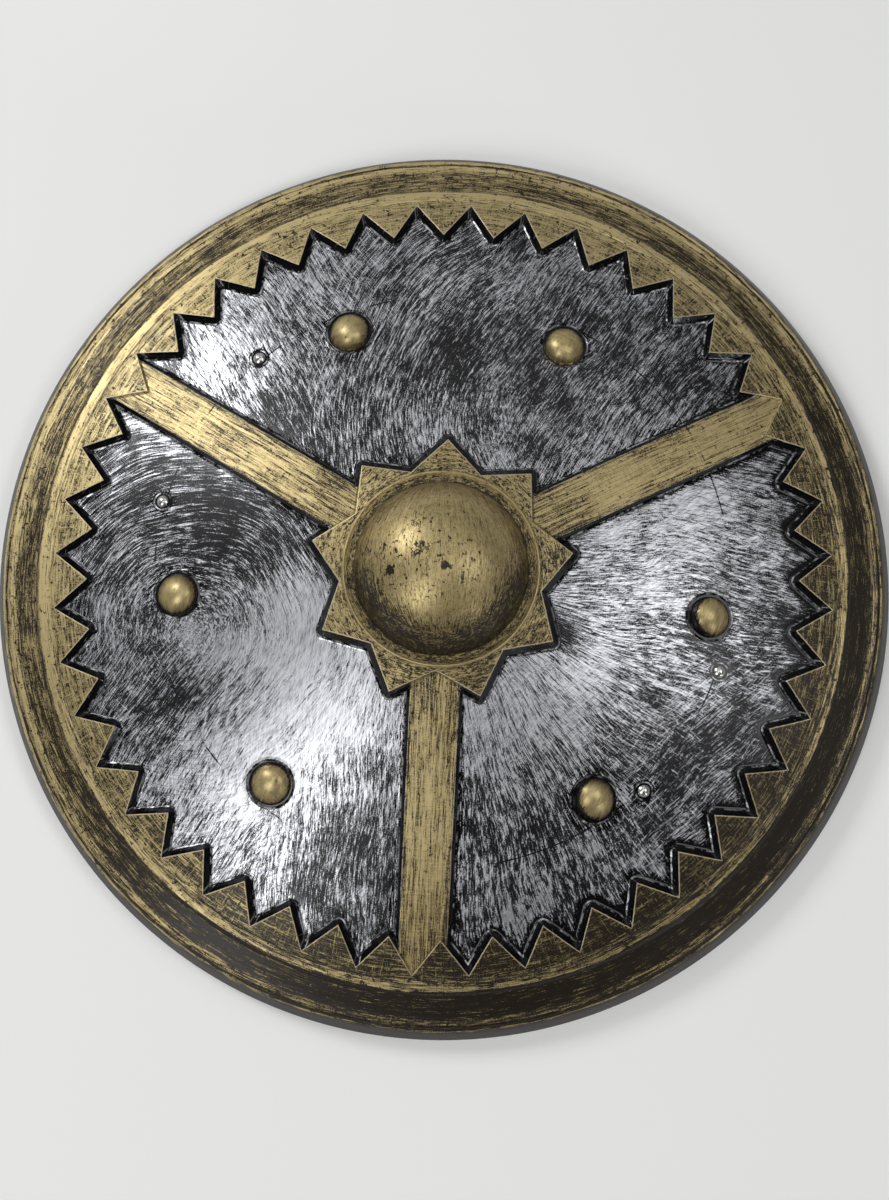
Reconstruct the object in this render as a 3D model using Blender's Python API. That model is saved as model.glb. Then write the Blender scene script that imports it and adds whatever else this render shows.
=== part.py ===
"""Round costume shield: one moulded plastic sheet with two riveted arm straps behind it.

The shield lies on the cut edge of its rim, which is z = 0, with its front facing +Z.
The wearer's forearm would lie along X, behind the boss. All lengths are in metres.
"""

import math

import bmesh
import bpy
from mathutils import Vector
from mathutils.geometry import delaunay_2d_cdt, intersect_line_line_2d

MM = 0.001

# Sheet
SHEET_THICKNESS = 2.0 * MM
RIM_RADIUS = 250.0 * MM

# Rim, outside the ridge: each ring is set in from the rim's edge and stands at its own height
RIDGE_INSET = 26.0 * MM
RIDGE_FOOT_INSET = 24.5 * MM
RIDGE_FOOT_HEIGHT = 20.0 * MM
SHOULDER_INSET = 11.3 * MM
SHOULDER_HEIGHT = 14.4 * MM
GROOVE_INSET = 7.6 * MM
GROOVE_HEIGHT = 12.9 * MM
BEAD_INSET = 5.6 * MM
BEAD_HEIGHT = 12.8 * MM
LIP_INSET = 3.7 * MM
LIP_HEIGHT = 9.5 * MM

# Field, the shallow dome that carries the relief; a slope is fall per metre outwards
FIELD_EDGE_HEIGHT = 17.0 * MM
FIELD_INNER_SLOPE = 0.222
FIELD_OUTER_SLOPE = 0.388

# Relief; every raised plate has walls of the same slope, rise per metre of run
WALL_SLOPE = 1.2
PLATE_RISE = 4.5 * MM
SPOKE_RISE = 3.0 * MM

# Zigzag band inside the ridge
TOOTH_COUNT = 44
BAND_WIDTH = 9.0 * MM
TOOTH_DEPTH = 19.7 * MM

# Boss with its collar, and the star plate around it
BOSS_RADIUS = 46.5 * MM
BOSS_HEIGHT = 37.0 * MM
COLLAR_WIDTH = 5.5 * MM
COLLAR_RISE = 1.2 * MM
COLLAR_RUN = 0.8 * MM
BOSS_FOOT_DROP = 1.4 * MM
STAR_POINTS = 9
STAR_MARGIN = 2.3 * MM
STAR_POINT_LENGTH = 16.2 * MM

# Spokes, from the star out to the band
SPOKE_ANGLES = (60.0, 180.0, 300.0)
SPOKE_WIDTH = 26.0 * MM

# Studs, two in each sector between the spokes; each shift is how far a stud stands out from, and
# along, its even place, because the mould's studs are set a little unevenly
SECTOR_ANGLES = (0.0, 120.0, 240.0)
STUD_SPREAD = 23.5
STUD_INSET = 50.3 * MM
STUD_SHIFTS = ((0.7 * MM, 1.1 * MM),
               (1.4 * MM, 1.7 * MM),
               (-0.3 * MM, -3.2 * MM),
               (0.6 * MM, -0.2 * MM),
               (-0.9 * MM, 0.9 * MM),
               (0.2 * MM, 0.6 * MM))
STUD_RADIUS = 10.75 * MM
STUD_HEIGHT = 8.8 * MM
MOAT_WIDTH = 2.6 * MM
MOAT_DEPTH = 0.5 * MM

# Rivets
RIVET_INSET = 36.5 * MM
HEAD_RADIUS = 3.4 * MM
HEAD_HEIGHT = 1.9 * MM
SHANK_RADIUS = 1.6 * MM
TAIL_RADIUS = 2.8 * MM
TAIL_HEIGHT = 1.2 * MM

# Straps; each loop hangs down to the same clearance above whatever the shield lies on
FOREARM_RIVET_SPACING = 95.6 * MM
FOREARM_STRAP_WIDTH = 30.0 * MM
GRIP_RIVET_SPACING = 76.6 * MM
GRIP_STRAP_WIDTH = 24.0 * MM
STRAP_THICKNESS = 2.2 * MM
TAB_OVERHANG = 9.5 * MM
TAB_CORNER_RADIUS = 6.0 * MM
LOOP_LEG_RUN = 20.0 * MM
LOOP_CLEARANCE = 10.0 * MM

# Fits: the gap between two pieces that touch, and around a shank in its hole
TOUCH_GAP = 0.3 * MM
SHANK_GAP = 0.3 * MM

# Fineness of the facets
RIM_SIDES = 2 * TOOTH_COUNT
BOSS_SIDES = 4 * STAR_POINTS
BOSS_STEPS = 5
STUD_SIDES = 16
STUD_STEPS = 4
RIVET_SIDES = 12
HEAD_STEPS = 3
LEG_STEPS = 7
CORNER_STEPS = 3
FIELD_RINGS = 4
FIELD_RING_POINTS = 54
SPOKE_STEPS = 4
POINT_SPACING = 5.0 * MM
MERGE = 0.001 * MM

# Radii that follow from the sizes above
RIDGE_RADIUS = RIM_RADIUS - RIDGE_INSET
NOTCH_RADIUS = RIDGE_RADIUS - BAND_WIDTH
TOOTH_RADIUS = NOTCH_RADIUS - TOOTH_DEPTH
COLLAR_RADIUS = BOSS_RADIUS + COLLAR_WIDTH
STAR_NOTCH_RADIUS = COLLAR_RADIUS + STAR_MARGIN
STAR_TIP_RADIUS = STAR_NOTCH_RADIUS + STAR_POINT_LENGTH
STUD_CIRCLE = TOOTH_RADIUS - STUD_INSET
RIVET_CIRCLE = TOOTH_RADIUS - RIVET_INSET


def polar(radius, angle):
    """Point in plan at a radius and an angle in radians."""
    return Vector((radius * math.cos(angle), radius * math.sin(angle)))


def circle(centre, radius, sides):
    """Corners of a regular polygon in plan."""
    return [Vector(centre) + polar(radius, math.tau * side / sides) for side in range(sides)]


def interpolate(table, position):
    """Straight-line value of a sorted table of rows, whose first entry is the position."""
    for low, high in zip(table, table[1:]):
        if position <= high[0]:
            share = max(0.0, (position - low[0]) / (high[0] - low[0]))
            return [a + (b - a) * share for a, b in zip(low[1:], high[1:])]
    return list(table[-1][1:])


# Field

FIELD_SLOPE_GROWTH = (FIELD_OUTER_SLOPE - FIELD_INNER_SLOPE) / (RIDGE_RADIUS - COLLAR_RADIUS)


def field_slope(radius):
    """Fall per metre of the field at a radius."""
    return FIELD_INNER_SLOPE + FIELD_SLOPE_GROWTH * (radius - COLLAR_RADIUS)


def field_height(radius):
    """Height of the field's front at a radius."""
    mean_slope = (field_slope(radius) + FIELD_OUTER_SLOPE) / 2
    return FIELD_EDGE_HEIGHT + mean_slope * (RIDGE_RADIUS - radius)


def leaning_normal(place, lean):
    """Unit vector that leans outwards from +Z by an angle, at a place in plan."""
    outward = Vector(place).normalized() * math.sin(lean)
    return Vector((outward.x, outward.y, math.cos(lean)))


def field_normal(place):
    """Outward normal of the field at a place in plan."""
    return leaning_normal(place, math.atan(field_slope(Vector(place).length)))


def field_point(place):
    """Point of the field's front above a place in plan."""
    return Vector((place[0], place[1], field_height(Vector(place).length)))


# Outlines of the relief

class Zigzag:
    """Closed outline of straight edges between corners that alternate between two radii."""

    def __init__(self, points, first_radius, second_radius):
        self.points = points
        self.half_period = math.pi / points
        start = polar(first_radius, 0.0)
        along = (polar(second_radius, self.half_period) - start).normalized()
        self.normal = Vector((along.y, -along.x))
        self.reach = start.dot(self.normal)

    def corner_radius(self, angle, offset):
        """Radius of the corner on a ray, with the edges moved outwards by an offset."""
        return (self.reach + offset) / polar(1.0, angle).dot(self.normal)

    def outline(self, offset=0.0):
        """Corners of the outline, with the edges moved outwards by an offset."""
        radii = [self.corner_radius(angle, offset) for angle in (0.0, self.half_period)]
        return [polar(radii[index % 2], index * self.half_period) for index in range(2 * self.points)]

    def distance(self, place):
        """How far a place lies outside the nearest edge; negative on the centre's side."""
        period = 2 * self.half_period
        angle = math.atan2(place[1], place[0])
        folded = abs(angle - period * round(angle / period))
        return polar(Vector(place).length, folded).dot(self.normal) - self.reach


BAND_EDGE = Zigzag(TOOTH_COUNT, TOOTH_RADIUS, NOTCH_RADIUS)
STAR_EDGE = Zigzag(STAR_POINTS, STAR_TIP_RADIUS, STAR_NOTCH_RADIUS)


def across_spoke(place, degrees):
    """A place along and across the axis of the spoke at an angle."""
    axis = polar(1.0, math.radians(degrees))
    return Vector(place).dot(axis), abs(axis.cross(Vector(place)))


def wall_height(rise, inside):
    """Height of a raised plate at a distance inside its top edge; its wall falls outside it."""
    return min(max(rise + WALL_SLOPE * inside, 0.0), rise)


def relief_height(place):
    """Height of the band, star and spokes over the field."""
    heights = [wall_height(PLATE_RISE, BAND_EDGE.distance(place)),
               wall_height(PLATE_RISE, -STAR_EDGE.distance(place))]
    for degrees in SPOKE_ANGLES:
        along, across = across_spoke(place, degrees)
        if along > 0:
            heights.append(wall_height(SPOKE_RISE, SPOKE_WIDTH / 2 - across))
    return max(heights)


# Turned rings of the boss, studs and rim: radius, height, and lean of the sheet's thickness

def cap_rings(base_radius, height, steps):
    """Rings of a spherical cap over its base, from the top down to just above its foot."""
    ball_radius = (base_radius ** 2 + height ** 2) / (2 * height)
    full_lean = math.acos(1 - height / ball_radius)
    rings = []
    for step in range(steps):
        lean = full_lean * step / steps
        rings.append((ball_radius * math.sin(lean), height - ball_radius * (1 - math.cos(lean)), lean))
    return rings, full_lean


def boss_profile():
    """Rings from the top of the boss out to the foot of its collar."""
    star_top = field_height(COLLAR_RADIUS) + PLATE_RISE
    collar_top = star_top + COLLAR_RISE
    foot_height = collar_top - BOSS_FOOT_DROP
    collar_lean = math.atan(FIELD_INNER_SLOPE)
    rings, full_lean = cap_rings(BOSS_RADIUS, BOSS_HEIGHT, BOSS_STEPS)
    profile = [(radius, foot_height + height, lean) for radius, height, lean in rings]
    profile.append((BOSS_RADIUS, foot_height, full_lean / 2))
    profile.append((COLLAR_RADIUS, collar_top, collar_lean))
    collar_foot = COLLAR_RADIUS + COLLAR_RUN
    profile.append((collar_foot, field_height(collar_foot) + PLATE_RISE, collar_lean))
    return profile


def stud_profile():
    """Rings of a stud over the field, from its top out through the moat around it."""
    rings, full_lean = cap_rings(STUD_RADIUS, STUD_HEIGHT, STUD_STEPS)
    return rings + [(STUD_RADIUS, -MOAT_DEPTH, full_lean / 2), (STUD_RADIUS + MOAT_WIDTH, 0.0, 0.0)]


def rim_profile():
    """Rings from the ridge out to the cut edge, where the thickness lies flat."""
    ridge_lean = math.atan(FIELD_OUTER_SLOPE)
    insets = ((RIDGE_INSET, FIELD_EDGE_HEIGHT + PLATE_RISE),
              (RIDGE_FOOT_INSET, RIDGE_FOOT_HEIGHT),
              (SHOULDER_INSET, SHOULDER_HEIGHT),
              (GROOVE_INSET, GROOVE_HEIGHT),
              (BEAD_INSET, BEAD_HEIGHT),
              (LIP_INSET, LIP_HEIGHT),
              (0.0, 0.0))
    quarter_turn = math.pi / 2
    rings = []
    for inset, height in insets:
        turned = (1 - inset / RIDGE_INSET) ** 2
        rings.append((RIM_RADIUS - inset, height, ridge_lean + (quarter_turn - ridge_lean) * turned))
    return rings


BOSS_PROFILE = boss_profile()
STUD_PROFILE = stud_profile()
RIM_PROFILE = rim_profile()


def stud_places():
    """Where the studs stand, in order of their angles round the shield."""
    angles = [math.radians(sector + side * STUD_SPREAD) for sector in SECTOR_ANGLES for side in (-1, 1)]
    return [polar(STUD_CIRCLE + outwards, angle) + polar(along, angle + math.pi / 2)
            for angle, (outwards, along) in zip(angles, STUD_SHIFTS)]


STUD_PLACES = stud_places()


def rivet_pair(side, spacing):
    """The two places on the rivets' circle that a strap's ends are fastened at."""
    along = side * math.sqrt(RIVET_CIRCLE ** 2 - (spacing / 2) ** 2)
    return [Vector((along, half * spacing / 2)) for half in (-1, 1)]


FOREARM_RIVETS = rivet_pair(-1, FOREARM_RIVET_SPACING)
GRIP_RIVETS = rivet_pair(1, GRIP_RIVET_SPACING)
HOLE_RADIUS = SHANK_RADIUS + SHANK_GAP


def shell_front_and_back(place):
    """The sheet's front point over a place in plan, and the point behind it."""
    radius = Vector(place).length
    if radius <= BOSS_PROFILE[-1][0] or radius >= RIM_PROFILE[0][0]:
        height, lean = interpolate(BOSS_PROFILE if radius < RIDGE_RADIUS else RIM_PROFILE, radius)
        front = Vector((place[0], place[1], height))
        return front, front - leaning_normal(place, lean) * SHEET_THICKNESS
    front = field_point(place)
    normal = field_normal(place)
    for centre in STUD_PLACES:
        offset = Vector(place) - centre
        if offset.length <= STUD_PROFILE[-1][0]:
            height, lean = interpolate(STUD_PROFILE, offset.length)
            front.z += height
            normal = (normal * math.cos(lean) + offset.normalized().to_3d() * math.sin(lean)).normalized()
            return front, front - normal * SHEET_THICKNESS
    front.z += relief_height(place)
    return front, front - normal * SHEET_THICKNESS


# Flat layouts and the sheets made from them

class Layout:
    """Points, lines and holes of a flat drawing that becomes a sheet."""

    def __init__(self):
        self.points = []
        self.lines = []
        self.holes = []

    def line(self, points, closed=False):
        """Add a run of points joined by lines."""
        first = len(self.points)
        self.points.extend(Vector(point).to_2d() for point in points)
        last = len(self.points) - 1
        self.lines.extend((index, index + 1) for index in range(first, last))
        if closed:
            self.lines.append((last, first))

    def hole(self, centre, radius):
        """Add a round hole that goes through the sheet."""
        self.line(circle(centre, radius, RIVET_SIDES), closed=True)
        self.holes.append((Vector(centre), radius))

    def in_hole(self, place):
        """Whether a place lies in one of the holes."""
        return any((place - centre).length < radius for centre, radius in self.holes)


def sheet_mesh(name, layout, front_and_back):
    """Triangulate a layout and lift it into a sheet with a front, a back and cut edges."""
    result = delaunay_2d_cdt(layout.points, layout.lines, [], 0, MERGE, False)
    places, triangles = result[0], result[2]
    kept = []
    for triangle in triangles:
        middle = sum((places[corner] for corner in triangle), Vector((0.0, 0.0))) / 3
        if not layout.in_hole(middle):
            kept.append(tuple(triangle))
    pairs = [front_and_back(place) for place in places]
    count = len(places)
    faces = list(kept)
    faces.extend(tuple(corner + count for corner in reversed(triangle)) for triangle in kept)
    sides = {(triangle[corner - 1], triangle[corner]) for triangle in kept for corner in range(3)}
    for start, end in sorted(sides):
        if (end, start) not in sides:
            faces.append((end, start, start + count, end + count))
    mesh = bpy.data.meshes.new(name)
    mesh.from_pydata([pair[0] for pair in pairs] + [pair[1] for pair in pairs], [], faces)
    mesh.validate()
    return mesh


def first_crossing(start, end, outline):
    """Where a straight line from start first meets a closed outline."""
    crossings = []
    for index, corner in enumerate(outline):
        found = intersect_line_line_2d(start, end, outline[index - 1], corner)
        if found is not None:
            crossings.append(found)
    return min(crossings, key=lambda point: (point - start).length)


def spoke_edges(degrees, side):
    """Top edge and foot of one side of a spoke, each from the star to the band."""
    axis = polar(1.0, math.radians(degrees))
    sideways = Vector((-axis.y, axis.x)) * side
    edges = []
    for drop in (0.0, SPOKE_RISE):
        across = sideways * (SPOKE_WIDTH / 2 + drop / WALL_SLOPE)
        run = (PLATE_RISE - SPOKE_RISE + drop) / WALL_SLOPE
        middle = axis * (STAR_TIP_RADIUS + TOOTH_RADIUS) / 2 + across
        inner = first_crossing(middle, across, STAR_EDGE.outline(run))
        outer = first_crossing(middle, axis * RIM_RADIUS + across, BAND_EDGE.outline(-run))
        edges.append((inner, outer))
    return edges


def ends_on_spoke(start, end, degrees):
    """Whether an edge has an end or its middle on top of a spoke."""
    for place in (start, (start + end) / 2, end):
        along, across = across_spoke(place, degrees)
        if along > 0 and across < SPOKE_WIDTH / 2:
            return True
    return False


def add_spoke(layout, degrees):
    """Add a spoke's edges, its corner creases, and the ends where it meets the star and the band."""
    shares = [step / SPOKE_STEPS for step in range(SPOKE_STEPS + 1)]
    for side in (-1, 1):
        edges = spoke_edges(degrees, side)
        for inner, outer in edges:
            layout.line([inner.lerp(outer, share) for share in shares])
        for top_end, foot_end in zip(*edges):
            layout.line([top_end, foot_end])
    run = (PLATE_RISE - SPOKE_RISE) / WALL_SLOPE
    for outline in (STAR_EDGE.outline(run), BAND_EDGE.outline(-run)):
        for index, corner in enumerate(outline):
            if ends_on_spoke(outline[index - 1], corner, degrees):
                layout.line([outline[index - 1], corner])


def field_places():
    """Free points that keep the open field round, well clear of the relief."""
    inner = STAR_TIP_RADIUS + PLATE_RISE / WALL_SLOPE
    outer = TOOTH_RADIUS - PLATE_RISE / WALL_SLOPE
    places = []
    for ring in range(1, FIELD_RINGS + 1):
        radius = inner + (outer - inner) * ring / (FIELD_RINGS + 1)
        places.extend(circle((0.0, 0.0), radius, FIELD_RING_POINTS))
    return [place for place in places if is_open_field(place)]


def is_open_field(place):
    """Whether a place is clear of the spokes, studs and rivets."""
    for degrees in SPOKE_ANGLES:
        along, across = across_spoke(place, degrees)
        if along > 0 and across < SPOKE_WIDTH / 2 + SPOKE_RISE / WALL_SLOPE + POINT_SPACING:
            return False
    clearances = [(centre, STUD_PROFILE[-1][0]) for centre in STUD_PLACES]
    clearances.extend((centre, HOLE_RADIUS) for centre in FOREARM_RIVETS + GRIP_RIVETS)
    return all((place - centre).length > radius + POINT_SPACING for centre, radius in clearances)


def shell_layout():
    """Every crease of the shell in plan: rings, zigzags, star, spokes, studs and rivet holes."""
    layout = Layout()
    centre = (0.0, 0.0)
    layout.points.append(Vector(centre))
    for radius, _, _ in BOSS_PROFILE[1:]:
        layout.line(circle(centre, radius, BOSS_SIDES), closed=True)
    for radius, _, _ in RIM_PROFILE:
        layout.line(circle(centre, radius, RIM_SIDES), closed=True)
    run = PLATE_RISE / WALL_SLOPE
    for edge, foot_offset in ((STAR_EDGE, run), (BAND_EDGE, -run)):
        layout.line(edge.outline(), closed=True)
        layout.line(edge.outline(foot_offset), closed=True)
    for degrees in SPOKE_ANGLES:
        add_spoke(layout, degrees)
    for place in STUD_PLACES:
        layout.points.append(place)
        for radius, _, _ in STUD_PROFILE[1:]:
            layout.line(circle(place, radius, STUD_SIDES), closed=True)
    for place in FOREARM_RIVETS + GRIP_RIVETS:
        layout.hole(place, HOLE_RADIUS)
    layout.points.extend(field_places())
    return layout


# Straps

class Strap:
    """A band that is flat against the shell at both rivets and hangs in a loop between them."""

    def __init__(self, rivets, width):
        self.rivets = rivets
        self.width = width
        self.middle = Vector((rivets[0].x, 0.0))
        self.half_length = rivets[1].y + TAB_OVERHANG
        self.leg_start = rivets[1].y - TAB_OVERHANG
        self.leg_run = LOOP_LEG_RUN
        self.loop_normal = field_normal(self.middle)
        room = field_height(self.middle.length) - LOOP_CLEARANCE
        self.loop_depth = room / self.loop_normal.z - SHEET_THICKNESS - TOUCH_GAP - STRAP_THICKNESS

    def depth_and_slope(self, along):
        """Depth of the loop below the tabs at a place along the strap, and its slope there."""
        share = (self.leg_start - abs(along)) / self.leg_run
        if share <= 0:
            return 0.0, 0.0
        if share >= 1:
            return self.loop_depth, 0.0
        depth = self.loop_depth * (1 - math.cos(math.pi * share)) / 2
        slope = self.loop_depth * math.pi * math.sin(math.pi * share) / (2 * self.leg_run)
        return depth, -math.copysign(slope, along)

    def front_and_back(self, place):
        """The strap's face towards the shell over a place in plan, and its other face."""
        depth, slope = self.depth_and_slope(place[1])
        normal = field_normal(place)
        near = field_point(place) - normal * (SHEET_THICKNESS + TOUCH_GAP) - self.loop_normal * depth
        through = (normal + Vector((0.0, slope, 0.0))).normalized()
        return near, near - through * STRAP_THICKNESS

    def layout(self):
        """Outline with rounded ends, lines across it at each bend, and the rivet holes."""
        layout = Layout()
        half_width = self.width / 2
        outline = []
        for turn, (across, along) in enumerate(((1, 1), (-1, 1), (-1, -1), (1, -1))):
            centre = Vector((across * (half_width - TAB_CORNER_RADIUS),
                             along * (self.half_length - TAB_CORNER_RADIUS)))
            for step in range(CORNER_STEPS + 1):
                angle = math.pi / 2 * (turn + step / CORNER_STEPS)
                outline.append(self.middle + centre + polar(TAB_CORNER_RADIUS, angle))
        layout.line(outline, closed=True)
        for side in (-1, 1):
            for step in range(LEG_STEPS + 1):
                along = side * (self.leg_start - self.leg_run * step / LEG_STEPS)
                across = [Vector((half, along)) for half in (-half_width, 0.0, half_width)]
                layout.line([self.middle + point for point in across])
        for rivet in self.rivets:
            layout.hole(rivet, HOLE_RADIUS)
        return layout


# Rivets

def rivet_mesh():
    """A domed head, a shank through the shell and a strap, and a flat clenched tail."""
    head, _ = cap_rings(HEAD_RADIUS, HEAD_HEIGHT, HEAD_STEPS)
    tail_top = -(SHEET_THICKNESS + STRAP_THICKNESS + 2 * TOUCH_GAP)
    tail_bottom = tail_top - TAIL_HEIGHT
    profile = [(radius, TOUCH_GAP + height) for radius, height, _ in head]
    profile.extend([(HEAD_RADIUS, TOUCH_GAP),
                    (SHANK_RADIUS, TOUCH_GAP),
                    (SHANK_RADIUS, tail_top),
                    (TAIL_RADIUS, tail_top),
                    (TAIL_RADIUS, tail_bottom),
                    (0.0, tail_bottom)])
    shape = bmesh.new()
    corners = [shape.verts.new((radius, 0.0, height)) for radius, height in profile]
    edges = [shape.edges.new(pair) for pair in zip(corners, corners[1:])]
    bmesh.ops.spin(shape, geom=corners + edges, axis=(0.0, 0.0, 1.0), cent=(0.0, 0.0, 0.0),
                   steps=RIVET_SIDES, angle=math.tau, use_merge=True)
    bmesh.ops.remove_doubles(shape, verts=shape.verts, dist=MERGE)
    bmesh.ops.recalc_face_normals(shape, faces=shape.faces)
    mesh = bpy.data.meshes.new("rivet")
    shape.to_mesh(mesh)
    shape.free()
    return mesh


# Objects and materials

def plain_material(name, color, roughness, metallic):
    """A Principled BSDF material with one colour."""
    material = bpy.data.materials.new(name)
    material.use_nodes = True
    shader = material.node_tree.nodes["Principled BSDF"]
    shader.inputs["Base Color"].default_value = (*color, 1.0)
    shader.inputs["Roughness"].default_value = roughness
    shader.inputs["Metallic"].default_value = metallic
    return material


def add_object(name, mesh, material):
    """Link a mesh into the scene as a smooth-shaded object with one material."""
    mesh.materials.clear()
    mesh.materials.append(material)
    mesh.shade_smooth()
    mesh.set_sharp_from_angle(angle=math.radians(25.0))
    thing = bpy.data.objects.new(name, mesh)
    bpy.context.scene.collection.objects.link(thing)
    return thing


def add_rivet(name, place, material):
    """Place a rivet square to the shell, its head on the front."""
    rivet = add_object(name, rivet_mesh(), material)
    rivet.location = field_point(place)
    rivet.rotation_mode = "QUATERNION"
    rivet.rotation_quaternion = field_normal(place).to_track_quat("Z", "Y")


def main():
    """Clear the scene and build the shield."""
    for thing in list(bpy.data.objects):
        bpy.data.objects.remove(thing, do_unlink=True)
    painted_sheet = plain_material("painted_plastic_sheet", (0.21, 0.19, 0.16), 0.35, 0.0)
    rivet_metal = plain_material("polished_rivet_metal", (0.80, 0.79, 0.77), 0.15, 1.0)
    strap_plastic = plain_material("black_strap_plastic", (0.015, 0.015, 0.016), 0.45, 0.0)
    shell = sheet_mesh("shield_shell", shell_layout(), shell_front_and_back)
    add_object("shield_shell", shell, painted_sheet)
    straps = (("forearm_strap", Strap(FOREARM_RIVETS, FOREARM_STRAP_WIDTH)),
              ("hand_grip_strap", Strap(GRIP_RIVETS, GRIP_STRAP_WIDTH)))
    for name, strap in straps:
        add_object(name, sheet_mesh(name, strap.layout(), strap.front_and_back), strap_plastic)
    for pair_name, pair in (("rivet_forearm", FOREARM_RIVETS), ("rivet_grip", GRIP_RIVETS)):
        for side_name, place in zip(("right", "left"), pair):
            add_rivet(f"{pair_name}_{side_name}", place, rivet_metal)


main()
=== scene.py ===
"""Dresses the costume shield: its fine painted shell, rivets, straps and a plain studio.

The shield lies on the cut edge of its rim, z = 0, with its front facing +Z. Lengths are in metres.
"""

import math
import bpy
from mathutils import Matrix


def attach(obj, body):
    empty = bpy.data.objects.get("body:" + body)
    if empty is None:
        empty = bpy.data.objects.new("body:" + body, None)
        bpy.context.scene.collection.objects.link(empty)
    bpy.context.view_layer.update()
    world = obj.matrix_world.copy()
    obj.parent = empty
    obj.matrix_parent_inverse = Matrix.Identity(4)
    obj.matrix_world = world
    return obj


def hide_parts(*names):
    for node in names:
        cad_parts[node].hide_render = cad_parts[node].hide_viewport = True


bl_info = {
    "name": "Viking Shield Dressing",
    "version": (1, 0, 0),
    "blender": (4, 5, 0),
    "location": "View3D > Sidebar > Shield",
    "description": "Builds the painted shell, rivets, straps and studio of a moulded costume shield",
    "category": "Object",
}

import bpy
import numpy as np
from bpy.props import FloatProperty, FloatVectorProperty, IntProperty, PointerProperty
from mathutils import Matrix, Vector
from mathutils.geometry import delaunay_2d_cdt

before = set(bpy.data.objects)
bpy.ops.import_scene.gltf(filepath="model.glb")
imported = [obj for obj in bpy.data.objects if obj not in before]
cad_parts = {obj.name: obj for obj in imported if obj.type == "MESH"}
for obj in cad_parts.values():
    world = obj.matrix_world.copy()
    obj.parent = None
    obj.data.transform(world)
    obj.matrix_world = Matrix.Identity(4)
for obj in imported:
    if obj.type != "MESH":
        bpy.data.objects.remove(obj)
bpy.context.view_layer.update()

MM = 0.001
BODY = "root"

# Sheet and rim, as in the frame: each ring is set in from the rim's edge
SHEET_THICKNESS = 2.0 * MM
RIM_RADIUS = 250.0 * MM
RIDGE_INSET = 26.0 * MM
RIM_ROWS = ((24.5 * MM, 20.0 * MM),
            (18.0 * MM, 17.2 * MM),
            (13.5 * MM, 15.2 * MM),
            (11.3 * MM, 14.4 * MM),
            (9.0 * MM, 14.05 * MM),
            (8.2 * MM, 13.9 * MM),
            (7.6 * MM, 13.3 * MM),
            (7.0 * MM, 13.3 * MM),
            (6.2 * MM, 13.3 * MM),
            (5.2 * MM, 12.3 * MM),
            (3.7 * MM, 9.5 * MM),
            (1.6 * MM, 4.3 * MM),
            (0.0, 0.0))
CREST_WIDTH = 7.0 * MM
CREST_RISE = 0.6 * MM
FIELD_EDGE_HEIGHT = 17.0 * MM
FIELD_INNER_SLOPE = 0.222
FIELD_OUTER_SLOPE = 0.388

# Relief
WALL_SLOPE = 1.2
PLATE_RISE = 4.5 * MM
SPOKE_RISE = 3.0 * MM
TOOTH_COUNT = 44
BAND_WIDTH = 9.0 * MM
TOOTH_DEPTH = 19.7 * MM
BOSS_RADIUS = 46.5 * MM
BOSS_HEIGHT = 37.0 * MM
COLLAR_WIDTH = 5.5 * MM
COLLAR_RISE = 1.2 * MM
COLLAR_RUN = 0.8 * MM
BOSS_FOOT_DROP = 1.4 * MM
STAR_POINTS = 9
STAR_MARGIN = 2.3 * MM
STAR_POINT_LENGTH = 16.2 * MM
SPOKE_ANGLES = (60.0, 180.0, 300.0)
SPOKE_WIDTH = 26.0 * MM
SECTOR_ANGLES = (0.0, 120.0, 240.0)
STUD_SPREAD = 23.5
STUD_INSET = 50.3 * MM
STUD_SHIFTS = ((0.7 * MM, 1.1 * MM),
               (1.4 * MM, 1.7 * MM),
               (-0.3 * MM, -3.2 * MM),
               (0.6 * MM, -0.2 * MM),
               (-0.9 * MM, 0.9 * MM),
               (0.2 * MM, 0.6 * MM))
STUD_RADIUS = 10.75 * MM
STUD_HEIGHT = 8.8 * MM
MOAT_WIDTH = 2.6 * MM
MOAT_DEPTH = 0.5 * MM
MOAT_LIP = 0.15 * MM

# Rivets and straps
RIVET_INSET = 36.5 * MM
HEAD_RADIUS = 3.4 * MM
HEAD_HEIGHT = 1.9 * MM
SHANK_RADIUS = 1.6 * MM
TAIL_RADIUS = 2.8 * MM
TAIL_HEIGHT = 1.2 * MM
FOREARM_RIVET_SPACING = 95.6 * MM
FOREARM_STRAP_WIDTH = 30.0 * MM
GRIP_RIVET_SPACING = 76.6 * MM
GRIP_STRAP_WIDTH = 24.0 * MM
STRAP_THICKNESS = 2.2 * MM
TAB_OVERHANG = 9.5 * MM
TAB_CORNER_RADIUS = 6.0 * MM
LOOP_LEG_RUN = 20.0 * MM
LOOP_CLEARANCE = 10.0 * MM
TOUCH_GAP = 0.3 * MM
SHANK_GAP = 0.3 * MM

# Radii that follow from the sizes above
RIDGE_RADIUS = RIM_RADIUS - RIDGE_INSET
NOTCH_RADIUS = RIDGE_RADIUS - BAND_WIDTH
TOOTH_RADIUS = NOTCH_RADIUS - TOOTH_DEPTH
COLLAR_RADIUS = BOSS_RADIUS + COLLAR_WIDTH
STAR_NOTCH_RADIUS = COLLAR_RADIUS + STAR_MARGIN
STAR_TIP_RADIUS = STAR_NOTCH_RADIUS + STAR_POINT_LENGTH
STUD_CIRCLE = TOOTH_RADIUS - STUD_INSET
RIVET_CIRCLE = TOOTH_RADIUS - RIVET_INSET
HOLE_RADIUS = SHANK_RADIUS + SHANK_GAP

# Where the turned profiles take over from the field, inside the star's notches and outside the band's
BOSS_LIMIT = COLLAR_RADIUS + 1.6 * MM
RIM_START = NOTCH_RADIUS + 3.0 * MM

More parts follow.
